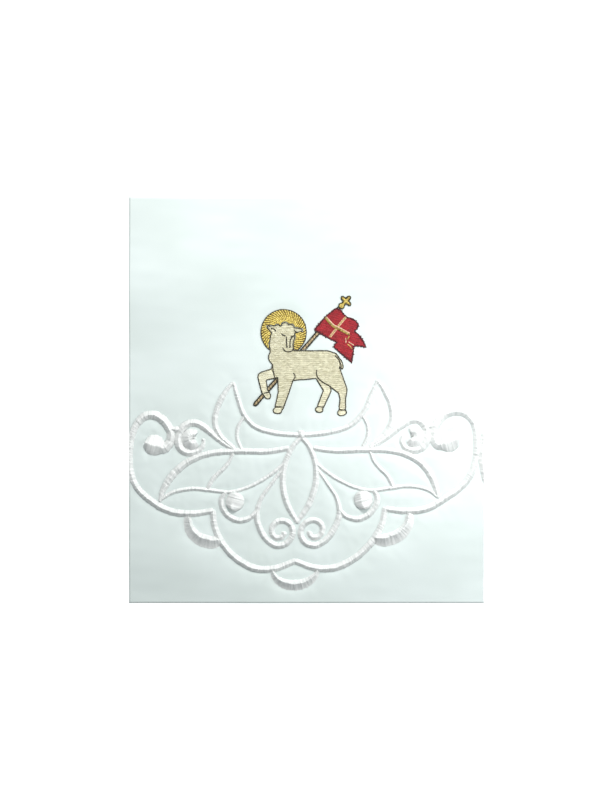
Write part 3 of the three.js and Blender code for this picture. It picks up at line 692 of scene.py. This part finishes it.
def row_fill(shape, box, heading, seed, pitch=ROW_PITCH, stitch=STITCH_LENGTH, wave=0):
    """Stitches in rows across a shape, which is negative inside. Box is its limits.

    Wave is how far the rows swing to either side of a straight line.
    """
    rng = np.random.default_rng(seed)
    turn = math.radians(heading)
    along = np.array([math.cos(turn), math.sin(turn)])
    across = np.array([-math.sin(turn), math.cos(turn)])
    left, bottom, right, top = box
    corners = np.array([(left, bottom), (right, bottom), (right, top), (left, top)])
    reach = corners @ along
    span = corners @ across
    at = np.arange(reach.min(), reach.max(), LINE_STEP)
    swing = wave * np.sin(math.tau * at / WOOL_WAVELENGTH)

    def rows():
        for offset in np.arange(span.min() - wave, span.max() + wave, pitch):
            drift = offset + 0.05 * rng.standard_normal()
            wobble = drift + swing * (1 + 0.4 * math.sin(offset / 6))
            yield at[:, None] * along + wobble[:, None] * across

    return stitch_lines(rows(), shape, stitch, ROW_CYCLE, rng)


def add_underlay(stock, shape, box, tone=UNDERLAY_SHADE_TONE):
    """The low bed of thread beneath a fill, which closes the gaps between its rows. Its dark tone is
    painted shade in those gaps.
    """
    left, bottom, right, top = box
    xs = np.arange(left, right, UNDERLAY_PITCH)
    ys = np.arange(bottom, top, UNDERLAY_PITCH)
    x, y = np.meshgrid(xs, ys)
    outside = shape(x, y)
    height = face_at(x, y) + np.clip(-0.35 * outside, -0.4, 0.1)
    points = np.stack([x, y, height], axis=-1).reshape(-1, 3)
    quads = grid_quads(len(xs) - 1, len(ys) - 1)
    kept = quads[(outside.reshape(-1)[quads] < 0.5).any(axis=1)]
    used, kept = np.unique(kept, return_inverse=True)
    stock.add(points[used], kept.reshape(-1, 4), tone, 0.0)


def new_material(name):
    material = bpy.data.materials.new(name)
    material.use_nodes = True
    tree = material.node_tree
    return material, tree, tree.nodes["Principled BSDF"]


def set_inputs(node, values):
    for name, value in values.items():
        node.inputs[name].default_value = value


def value_node(tree, operation, *inputs):
    node = tree.nodes.new("ShaderNodeMath")
    node.operation = operation
    for i, given in enumerate(inputs):
        if isinstance(given, (int, float)):
            node.inputs[i].default_value = given
        else:
            tree.links.new(given, node.inputs[i])
    return node.outputs[0]


def attribute_node(tree, name):
    node = tree.nodes.new("ShaderNodeAttribute")
    node.attribute_name = name
    return node.outputs["Fac"]


def noise_node(tree, vector, scale, detail):
    noise = tree.nodes.new("ShaderNodeTexNoise")
    set_inputs(noise, {"Scale": scale, "Detail": detail})
    tree.links.new(vector, noise.inputs["Vector"])
    return noise.outputs["Fac"]


def ramp_node(tree, level, shades, ends=(0, 1)):
    """A blend between two shades, as the level runs between the two ends."""
    ramp = tree.nodes.new("ShaderNodeValToRGB")
    for element, shade, end in zip(ramp.color_ramp.elements, shades, ends):
        element.position = end
        element.color = (*shade, 1)
    tree.links.new(level, ramp.inputs["Fac"])
    return ramp.outputs["Color"]


def add_bump(tree, shader, height, strength):
    bump = tree.nodes.new("ShaderNodeBump")
    set_inputs(bump, {"Strength": strength, "Distance": BUMP_DISTANCE})
    tree.links.new(height, bump.inputs["Height"])
    tree.links.new(bump.outputs["Normal"], shader.inputs["Normal"])


def thread_material(name, dark, light, roughness, sheen=0):
    """Glossy thread: tone runs from dark to light from stitch to stitch, with a fine twist."""
    material, tree, shader = new_material(name)
    colour = ramp_node(tree, attribute_node(tree, "tone"), (dark, light))
    place = tree.nodes.new("ShaderNodeTexCoord")
    grain = noise_node(tree, place.outputs["Object"], 420, 2)
    shade = tree.nodes.new("ShaderNodeMix")
    shade.data_type = "RGBA"
    shade.blend_type = "MULTIPLY"
    set_inputs(shade, {"Factor": 0.22})
    tree.links.new(colour, shade.inputs["A"])
    tree.links.new(grain, shade.inputs["B"])
    tree.links.new(shade.outputs["Result"], shader.inputs["Base Color"])
    set_inputs(shader, {"Roughness": roughness, "Sheen Weight": sheen, "Sheen Roughness": 0.4})
    turns = value_node(tree, "MULTIPLY", attribute_node(tree, "run"), math.tau / THREAD_PLY)
    twist = value_node(tree, "SINE", turns)
    add_bump(tree, shader, value_node(tree, "MULTIPLY_ADD", grain, 1.2, twist), 0.35)
    return material


def satin_material():
    """White satin: long floats of warp, a soft sheen, and faint clouds of shade."""
    material, tree, shader = new_material("satin")
    place = tree.nodes.new("ShaderNodeTexCoord").outputs["Object"]
    floats = tree.nodes.new("ShaderNodeMapping")
    set_inputs(floats, {"Scale": (3200, 420, 400)})
    tree.links.new(place, floats.inputs["Vector"])
    weave = noise_node(tree, floats.outputs["Vector"], 1, 1)
    clouds = noise_node(tree, place, 16, 2)
    colour = ramp_node(tree, clouds, SATIN_SHADES, (0.3, 0.7))
    tree.links.new(colour, shader.inputs["Base Color"])
    set_inputs(shader, {"Roughness": 0.42, "Sheen Weight": 0.15})
    add_bump(tree, shader, weave, 0.25)
    return material


def ornament_runs():
    """Every stroke of the ornament on the panel: its side, its crest, its fall and its places."""
    runs = []
    for side in (-1, 1):
        for name, rows in STROKES.items():
            if name == "teardrop":
                rows = rows + curl_rows()
            if name == "outer_volute":
                rows = [VOLUTE_ROOT] + rows
            crest = -side * LOBE_CRESTS.get(name, 0)
            fall = HOLLOW_FALL if name in LOBE_CRESTS else CORD_FALL
            runs.append((side, crest, fall, stroke_places(rows, side)))
    # The next repeat of the ornament touches this one and is cut off by the panel's right edge.
    runs.append((1, 0, CORD_FALL, stroke_places(STROKES["outer_volute"], -1, REPEAT_PITCH)))
    return runs


def ball_places():
    """The middle and radius of every ball of the ornament."""
    balls = [(*ornament_place(o, up, side), radius) for side in (-1, 1) for o, up, radius in BALLS]
    return [*balls, (*ornament_place(BEAD[0], BEAD[1], 1), BEAD[2])]


def crested_ball(ball, heading):
    """The places of a wide stitch that fills a ball, along its crest."""
    x0, y0, radius = ball
    turn = math.radians(heading)
    along = np.linspace(-1, 1, 33) * (1 - 0.2 / radius)
    width = 2 * radius * np.sqrt(1 - along**2)
    places = [x0 + radius * along * math.cos(turn), y0 + radius * along * math.sin(turn), width]
    return np.stack(places, axis=1)


def curled_ball(ball, side):
    """The places of a thick stitch that fills a ball by curling round inside it."""
    x0, y0, radius = ball
    share = np.linspace(0, 1, 33)
    turn = np.radians(CURL_BALL["start"] + CURL_BALL["turn"] * share)
    axis = radius * CURL_BALL["axis"]
    width = radius * CURL_BALL["width"] * (0.55 + 0.45 * np.sin(math.pi * share**0.7))
    places = [x0 - side * axis * np.cos(turn), y0 + axis * np.sin(turn), width]
    return np.stack(places, axis=1)


def ball_runs(balls):
    """The stitches that fill the balls, each with its side, its crest and its fall."""
    runs = []
    for side, (outer, middle, low) in ((-1, balls[:3]), (1, balls[3:6])):
        runs.append((side, 0, CORD_FALL, crested_ball(outer, -side * OUTER_CREST)))
        runs.append((side, 0, FULL_FALL, curled_ball(middle, side)))
        runs.append((side, -side * LOW_SHIFT, FULL_FALL, crested_ball(low, -side * LOW_CREST)))
    runs.append((1, 0, FULL_FALL, crested_ball(balls[-1], 90)))
    return runs


def trim_to_panel(piece):
    """Cuts off what reaches past the panel's left and right edges, and closes the cut."""
    work = bmesh.new()
    work.from_mesh(piece.data)
    for side in (-1, 1):
        plane = Vector((side * PANEL_WIDTH / 2 * MM, 0, 0))
        parts = work.verts[:] + work.edges[:] + work.faces[:]
        away = (side, 0, 0)
        cut = bmesh.ops.bisect_plane(work, geom=parts, plane_co=plane, plane_no=away, clear_outer=True)
        rim = [e for e in cut["geom_cut"] if isinstance(e, bmesh.types.BMEdge)]
        if rim:
            bmesh.ops.edgeloop_fill(work, edges=rim)
    work.to_mesh(piece.data)
    work.free()


def nearest_stitches(x, y, runs, balls):
    """How far each place lies from the nearest stitch's edge, and how far along it that is."""
    places, halves, seams = [], [], []
    for number, (*_, run) in enumerate(runs):
        some = stepped(run, 1)
        places.extend(some[:, :2])
        halves.extend(some[:, 2] / 2)
        seams.extend(np.arange(len(some)) + PUCKER_SHIFT * number)
    for x0, y0, radius in balls:
        places.append((x0, y0))
        halves.append(radius)
        seams.append(0)
    tree = KDTree(len(places))
    for i, (px, py) in enumerate(places):
        tree.insert((px, py, 0), i)
    tree.balance()
    found = [tree.find((px, py, 0))[1:] for px, py in zip(x.ravel(), y.ravel())]
    nearest, away = (np.array(part).reshape(x.shape) for part in zip(*found))
    return np.maximum(0, away - np.array(halves)[nearest]), np.array(seams)[nearest]


def satin_relief(x, y, away, seam):
    """The height of the satin over its smooth face: calm under the emblem, drawn in at stitches."""
    pillow = PILLOW_HEIGHT * (1 - np.exp(-away / 6)) * np.exp(-((away / 30) ** 2))
    gutter = -GUTTER_DEPTH * np.exp(-away / 1.6)
    pucker = np.sin(math.tau * seam / PUCKER_SPACING + 2 * waves(x, y, 6, 20, 50, 1, 3))
    pucker = PUCKER_HEIGHT * pucker * np.exp(-away / 9) * (1 - np.exp(-away / 1.5))
    stitched = LAMB + [HALO_LIMB, STAFF_LIMB, KNOB_LIMB] + finial_limbs()
    calm = np.clip(limbs_distance(x, y, stitched) / CALM_REACH, 0, 1)
    calm = calm * np.clip(polygon_distance(x, y, banner_outline()) / CALM_REACH, 0, 1)
    broad = BROAD_HEIGHT * waves(x, y, 12, 26, 70, 2.2, 5)
    fine = FINE_HEIGHT * waves(x, y, 14, 9, 20, 2.6, 9)
    relief = gutter + (pillow + pucker + broad + fine + 0.3) * calm * (1 - np.exp(-away / 3))
    return np.maximum(relief, LOWEST_RELIEF)


def sheet_faces(columns, rows):
    """The faces of a sheet's top layer, of the layer under it and of its four rims."""
    across = columns + 1
    faces = grid_quads(columns, rows)
    layer = across * (rows + 1)
    bottom = np.arange(columns)
    top = bottom + rows * across
    left = np.arange(rows) * across
    right = left + columns
    rims = []
    for edge, step in ((bottom, 1), (top, -1), (left, -across), (right, across)):
        near = edge if step > 0 else edge - step
        rims.append(np.stack([layer + near, layer + near + step, near + step, near], axis=-1))
    return np.concatenate([faces, faces[:, ::-1] + layer, *rims])


def make_satin(runs, balls):
    """The cloth: a closed sheet on its swells, puckered where the embroidery draws it in."""
    columns = math.ceil(PANEL_WIDTH / SATIN_PITCH)
    rows = math.ceil(PANEL_LENGTH / SATIN_PITCH)
    xs = np.linspace(-PANEL_WIDTH / 2, PANEL_WIDTH / 2, columns + 1)
    ys = np.linspace(-PANEL_LENGTH / 2, PANEL_LENGTH / 2, rows + 1)
    x, y = np.meshgrid(xs, ys)
    relief = satin_relief(x, y, *nearest_stitches(x, y, runs, balls))
    layers = (face_at(x, y) + relief, lift_at(x, y))
    points = np.concatenate([np.stack([x, y, z], axis=-1).reshape(-1, 3) for z in layers])
    stock = Stock()
    stock.add(points, sheet_faces(columns, rows), 0.5, 0.0)
    return stock.piece("satin_cloth", satin_material(), "satin", ["cloth"])


def round_limb(x, y, radius):
    return (x, y, radius, x + 0.01, y, radius)


HALO_LIMB = round_limb(HALO_X, HALO_Y, HALO_RADIUS)
KNOB_LIMB = round_limb(*STAFF_KNOB)
STAFF_LIMB = (*STAFF_FOOT, STAFF_HALF_WIDTH, STAFF_KNOB[0], STAFF_KNOB[1], STAFF_HALF_WIDTH)
EMBLEM_BOX = (-46, -18, 52, 90)


def lamb_at(x, y):
    return limbs_distance(x, y, LAMB)


def staff_at(x, y):
    return limb_distance(x, y, STAFF_LIMB)


def finial_limbs():
    """The two arms of the cross on the staff's top, one along the staff and one across it."""
    along = np.array([STAFF_TOP[0] - STAFF_KNOB[0], STAFF_TOP[1] - STAFF_KNOB[1]])
    along *= FINIAL_ARM / np.linalg.norm(along)
    arms = []
    for arm in (along, np.array([-along[1], along[0]])):
        x1, y1 = STAFF_TOP - arm
        x2, y2 = STAFF_TOP + arm
        arms.append((x1, y1, FINIAL_HALF_WIDTH, x2, y2, FINIAL_HALF_WIDTH))
    return arms


def box_of(limbs):
    """The limits of some limbs, with half a millimetre to spare."""
    rims = np.concatenate([limb_outline(limb, -0.5) for limb in limbs])
    return *rims.min(axis=0), *rims.max(axis=0)


def make_lamb(thread):
    """The lamb: rows of stitches under an outline, with its hooves and far parts on their own."""
    fill = Stock()
    add_underlay(fill, lambda x, y: lamb_at(x, y) + 0.4, EMBLEM_BOX)
    near = NEAR_BODY + HOOVES

    def near_body(x, y):
        return np.maximum(limbs_distance(x, y, NEAR_BODY) + 0.3, 0.1 - limbs_distance(x, y, HOOVES))

    def add_rows(shape, limbs, heading, pale, seed, wave=0):
        box = box_of(limbs)
        starts, ends, rows = row_fill(shape, box, heading, seed, ROW_PITCH, WOOL_STITCH, wave)
        rng = np.random.default_rng(seed + 40)
        # Tone is banded across the rows, with darker lines between the bands: painted shade between
        # the rows of wool, deeper on the legs.
        painted_shade_depth = np.where(starts[:, 1] < LEG_TOP, LEG_SHADE, WOOL_SHADE)
        bands = painted_shade_depth * np.cos(math.tau * rows * ROW_PITCH / WOOL_BAND)
        tone = pale + bands + rng.uniform(-0.3, 0.3, len(starts))
        girth = rng.uniform(0.95, 1.15, len(starts))
        add_strands(fill, starts, ends, tone, 0.14, girth, FILL_RAISED)

    add_rows(near_body, NEAR_BODY, 0, 0.52, 20, WOOL_WAVE)
    add_rows(lambda x, y: limbs_distance(x, y, HOOVES) + 0.3, HOOVES, 0, 0.8, 21)
    for number, (limbs, heading) in enumerate(FAR_PARTS):

        def far_part(x, y):
            return np.maximum(limbs_distance(x, y, limbs) + 0.3, 0.1 - limbs_distance(x, y, near))

        add_rows(far_part, limbs, heading, 0.72, 22 + number)
    fill.piece("lamb_stitching", thread["beige"], "beige_thread", ["lamb"])

    outline = Stock()
    seed = 100
    for limb in LAMB:
        rim = limb_outline(limb, OUTLINE_INSET)
        for run in shown_runs(rim, lambda x, y: lamb_at(x, y) > -OUTLINE_INSET - 0.06):
            add_dashes(outline, run, 0.4, seed)
            seed += 1
    for line in LAMB_LINES.values():
        add_dashes(outline, smooth_run(line), 0.3, seed, 1.6, raised=0.46)
        seed += 1
    for x1, y1, x2, y2 in NOSTRILS:
        add_strands(outline, [(x1, y1)], [(x2, y2)], 0.1, 0.14, 2.2, 0.55)
    outline.piece("lamb_outline", thread["dark"], "dark_thread")


def make_halo(thread):
    """The halo: stitches along slightly bent spokes, high and low by turns, within a ring. The high
    ones are lighter (painted sheen) and the low ones darker (painted shade).
    """

    def halo(x, y):
        outside = np.hypot(x - HALO_X, y - HALO_Y) - HALO_RADIUS + 0.5
        return np.maximum(outside, np.maximum(0.2 - lamb_at(x, y), 0.1 - staff_at(x, y)))

    fill = Stock()
    reach = HALO_RADIUS + 0.5
    box = (HALO_X - reach, HALO_Y - reach, HALO_X + reach, HALO_Y + reach)
    add_underlay(fill, halo, box)
    rng = np.random.default_rng(5)
    out = np.arange(5, HALO_RADIUS, LINE_STEP)
    spokes = round(math.tau * HALO_RADIUS * 0.82 / HALO_PITCH)
    turn = math.tau * np.arange(spokes)[:, None] / spokes + HALO_SWIRL * out
    lines = np.stack([HALO_X + out * np.cos(turn), HALO_Y + out * np.sin(turn)], axis=2)
    starts, ends, rows = stitch_lines(lines, halo, HALO_STITCH, SPOKE_CYCLE, rng)
    upper = rows % 2
    # The high rows are light and the low rows dark in tone: painted sheen on the high threads and
    # painted shade on the low ones.
    tone = np.where(upper, 0.92, 0.12) + rng.normal(0, 0.14, len(starts))
    girth = np.where(upper, 1.9, 1.2) * rng.uniform(0.9, 1.1, len(starts))
    raised = np.where(upper, 0.22, 0.06)[:, None]
    add_strands(fill, starts, ends, tone, 0.2, girth, raised)
    fill.piece("halo_stitching", thread["gold"], "gold_thread", ["halo"])
    outline = Stock()

    def clear(x, y):
        return (lamb_at(x, y) > 0.1) & (staff_at(x, y) > -0.4)

    for number, run in enumerate(shown_runs(limb_outline(HALO_LIMB, OUTLINE_INSET), clear)):
        add_dashes(outline, run, 0.6, 300 + number)
    outline.piece("halo_outline", thread["dark"], "dark_thread")


def make_staff(thread):
    """The staff where nothing hides it, and the knob and cross on its top."""
    corners = banner_outline()

    def hidden(x, y):
        flag = polygon_distance(x, y, corners)
        return np.minimum(np.minimum(lamb_at(x, y), flag), limb_distance(x, y, KNOB_LIMB))

    def staff(x, y):
        return np.maximum(staff_at(x, y) + 0.8, 0.25 - hidden(x, y))

    fill = Stock()
    add_underlay(fill, staff, EMBLEM_BOX)
    starts, ends, rows = row_fill(staff, EMBLEM_BOX, 104, 401, pitch=0.5, stitch=9)
    rng = np.random.default_rng(402)
    tone = 0.6 + 0.36 * np.sin(rows * 1.3) + rng.uniform(-0.12, 0.12, len(rows))
    add_strands(fill, starts, ends, tone, 0.2, 1.1, FILL_RAISED)
    staff_nodes = ["staff_foot", "staff_chest", "staff_shoulder"]
    fill.piece("staff_stitching", thread["brass"], "gold_thread", staff_nodes)
    outline = Stock()
    rim = limb_outline(STAFF_LIMB, 0.3)
    for number, run in enumerate(shown_runs(rim, lambda x, y: hidden(x, y) > 0.1)):
        add_dashes(outline, run, 0.1, 420 + number, girth=1.9, raised=0.6)
    top = [*finial_limbs(), KNOB_LIMB]
    for number, limb in enumerate(top):
        rim = limb_outline(limb, 0.05)
        for run in shown_runs(rim, lambda x, y: limbs_distance(x, y, top) > -0.12):
            add_dashes(outline, run, 0.2, 440 + number, 1.3, 1.7, 0.6)
    outline.piece("staff_outline", thread["dark"], "dark_thread")

    finial = Stock()
    # The bed under the finial is dark too: painted shade between its rows.
    add_underlay(finial, lambda x, y: limbs_distance(x, y, top) + 0.2, box_of(top), 0.2)
    headings = (135, 45, 60)
    for number, limb in enumerate(top):

        def inner(x, y):
            return limb_distance(x, y, limb) + 0.55

        box = box_of([limb])
        starts, ends, _ = row_fill(inner, box, headings[number], 460 + number, 0.55, 12)
        tone = np.random.default_rng(470 + number).uniform(0.25, 0.85, len(starts))
        add_strands(finial, starts, ends, tone, 0.2, 1.3, 0.2 + 0.1 * number)
    finial.piece("finial_stitching", thread["gold"], "gold_thread", ["finial"])


def thread_line(corners, step=0.42):
    """Evenly spaced places along a smooth line through the given corners."""
    return stepped(smooth_run(corners), step)


def make_banner(thread):
    """The banner: its fill, its ragged edge, and the two bands of its cross with their tails."""
    corners = banner_outline()

    def banner(x, y):
        return polygon_distance(x, y, corners)

    box = (*(corners.min(axis=0) - 0.5), *(corners.max(axis=0) + 0.5))
    fill = Stock()
    add_underlay(fill, lambda x, y: banner(x, y) + 0.3, box)
    starts, ends, rows = row_fill(lambda x, y: banner(x, y) + 0.2, box, -14, 501)
    rng = np.random.default_rng(502)
    tone = 0.55 + 0.16 * np.sin(rows * 1.7) + rng.uniform(-0.3, 0.3, len(rows))
    girth = rng.uniform(0.95, 1.1, len(starts))
    add_strands(fill, starts, ends, tone, 0.14, girth, FILL_RAISED)
    fill.piece("banner_stitching", thread["red"], "red_thread", ["banner"])

    # A ragged edge: a running stitch, with short stitches laid across it.
    outline = Stock()
    rim = stepped(np.vstack([corners, corners[:1]]), 0.3)
    add_dashes(outline, rim, 0.5, 510, 1.5, 1.3, 0.36)
    knots = rim[::4]
    side = left_of(np.gradient(knots[:, :2], axis=0))
    every_other = np.where(np.arange(len(knots)) % 2, 0.9, 0.1)[:, None]
    far = every_other * rng.uniform(0.4, 1.2, (len(knots), 1))
    near = rng.uniform(0.5, 1.4, (len(knots), 1))
    tone = rng.uniform(0.1, 0.9, len(knots))
    add_strands(outline, knots + far * side, knots - near * side, tone, 0.14, 1.7, 0.4)
    outline.piece("banner_outline", thread["maroon"], "red_thread")

    cross = Stock()
    pale = Stock()
    band = thread_line(SHORT_BAND, 0.5)
    side = left_of(np.gradient(band, axis=0))
    tone = rng.uniform(0.5, 1, len(band))
    add_strands(pale, band - side, band + 1.1 * side, tone, 0.12, 1.2, OUTLINE_RAISED)
    zigzag = band + side * np.where(np.arange(len(band)) % 4 < 2, 0.8, -0.8)[:, None]
    add_dashes(cross, zigzag[::2], 0.3, 530, 1.0, 1.2, 0.6)
    band = thread_line(LONG_BAND)
    side = left_of(np.gradient(band, axis=0))
    tone = rng.uniform(0.0, 0.5, len(band))
    add_strands(cross, band - 1.2 * side, band + 0.4 * side, tone, 0.16, 1.2, 0.62)
    add_dashes(pale, band + 0.8 * side, 0.9, 531, 2.4, 2.0, 0.76)
    for number, corners in enumerate(PALE_TAIL_LINES):
        add_dashes(pale, thread_line(corners), 0.7, 540 + number, 2.0, 1.5, 0.5)
    for number, corners in enumerate(GOLD_TAIL_LINES):
        add_dashes(cross, thread_line(corners), 0.5, 550 + number, 2.0, 1.4, 0.56)
    cross.piece("banner_cross_stitching", thread["gold"], "gold_thread", ["banner_cross"])
    pale.piece("banner_pale_stitching", thread["rose"], "gold_thread")


def make_ornament(runs, thread):
    """The white scrollwork, in a left and a right half."""
    sides = {-1: Stock(), 1: Stock()}
    for number, (side, crest, fall, places) in enumerate(runs):
        add_cord(sides[side], places, crest, fall, 700 + number)
    for side, name in ((-1, "scroll_stitching_left"), (1, "scroll_stitching_right")):
        trim_to_panel(sides[side].piece(name, thread["white"], "white_thread", ["scroll_ornament"]))


def make_floor():
    material, _, shader = new_material("pale_floor")
    set_inputs(shader, {"Base Color": (0.93, 0.935, 0.935, 1), "Roughness": 0.9})
    set_inputs(shader, {"Emission Color": (1, 1, 1, 1), "Emission Strength": 0.7})
    bpy.ops.mesh.primitive_plane_add(size=8, location=(0, 0, -0.0002))
    floor = bpy.context.object
    floor.name = "floor"
    floor.data.materials.append(material)


def make_light(name, place, aim, size, energy, colour):
    data = bpy.data.lights.new(name, "AREA")
    data.size = size
    data.energy = energy
    data.color = colour
    light = bpy.data.objects.new(name, data)
    light.location = place
    light.rotation_euler = (Vector(aim) - Vector(place)).to_track_quat("-Z", "Y").to_euler()
    light.visible_camera = False
    scene.collection.objects.link(light)


def make_camera_and_light():
    camera_data = bpy.data.cameras.new("camera")
    camera_data.lens = LENS
    camera_data.sensor_width = SENSOR
    camera = bpy.data.objects.new("camera", camera_data)
    camera.location = (0, 0, FRAME_LENGTH * MM * LENS / SENSOR + 0.002)
    scene.collection.objects.link(camera)
    scene.camera = camera
    world = bpy.data.worlds.new("soft_studio")
    world.use_nodes = True
    background = world.node_tree.nodes["Background"]
    set_inputs(background, {"Color": SKY_COLOUR, "Strength": SKY_STRENGTH})
    scene.world = world
    for name, light in LIGHTS.items():
        make_light(name, *light)
    scene.view_settings.view_transform = "Standard"


def make_all():
    make_camera_and_light()
    make_floor()
    runs = ornament_runs()
    balls = ball_places()
    thread = {name: thread_material(f"{name}_thread", *look) for name, look in THREADS.items()}
    satin = make_satin(runs, balls)
    make_ornament(runs + ball_runs(balls), thread)
    for make in (make_lamb, make_halo, make_staff, make_banner):
        make(thread)
    pieces = [o for o in scene.objects if o.type == "MESH"]
    trim = [o for word in ("stitching", "outline") for o in pieces if word in o.name]


make_all()
bpy.context.view_layer.update()
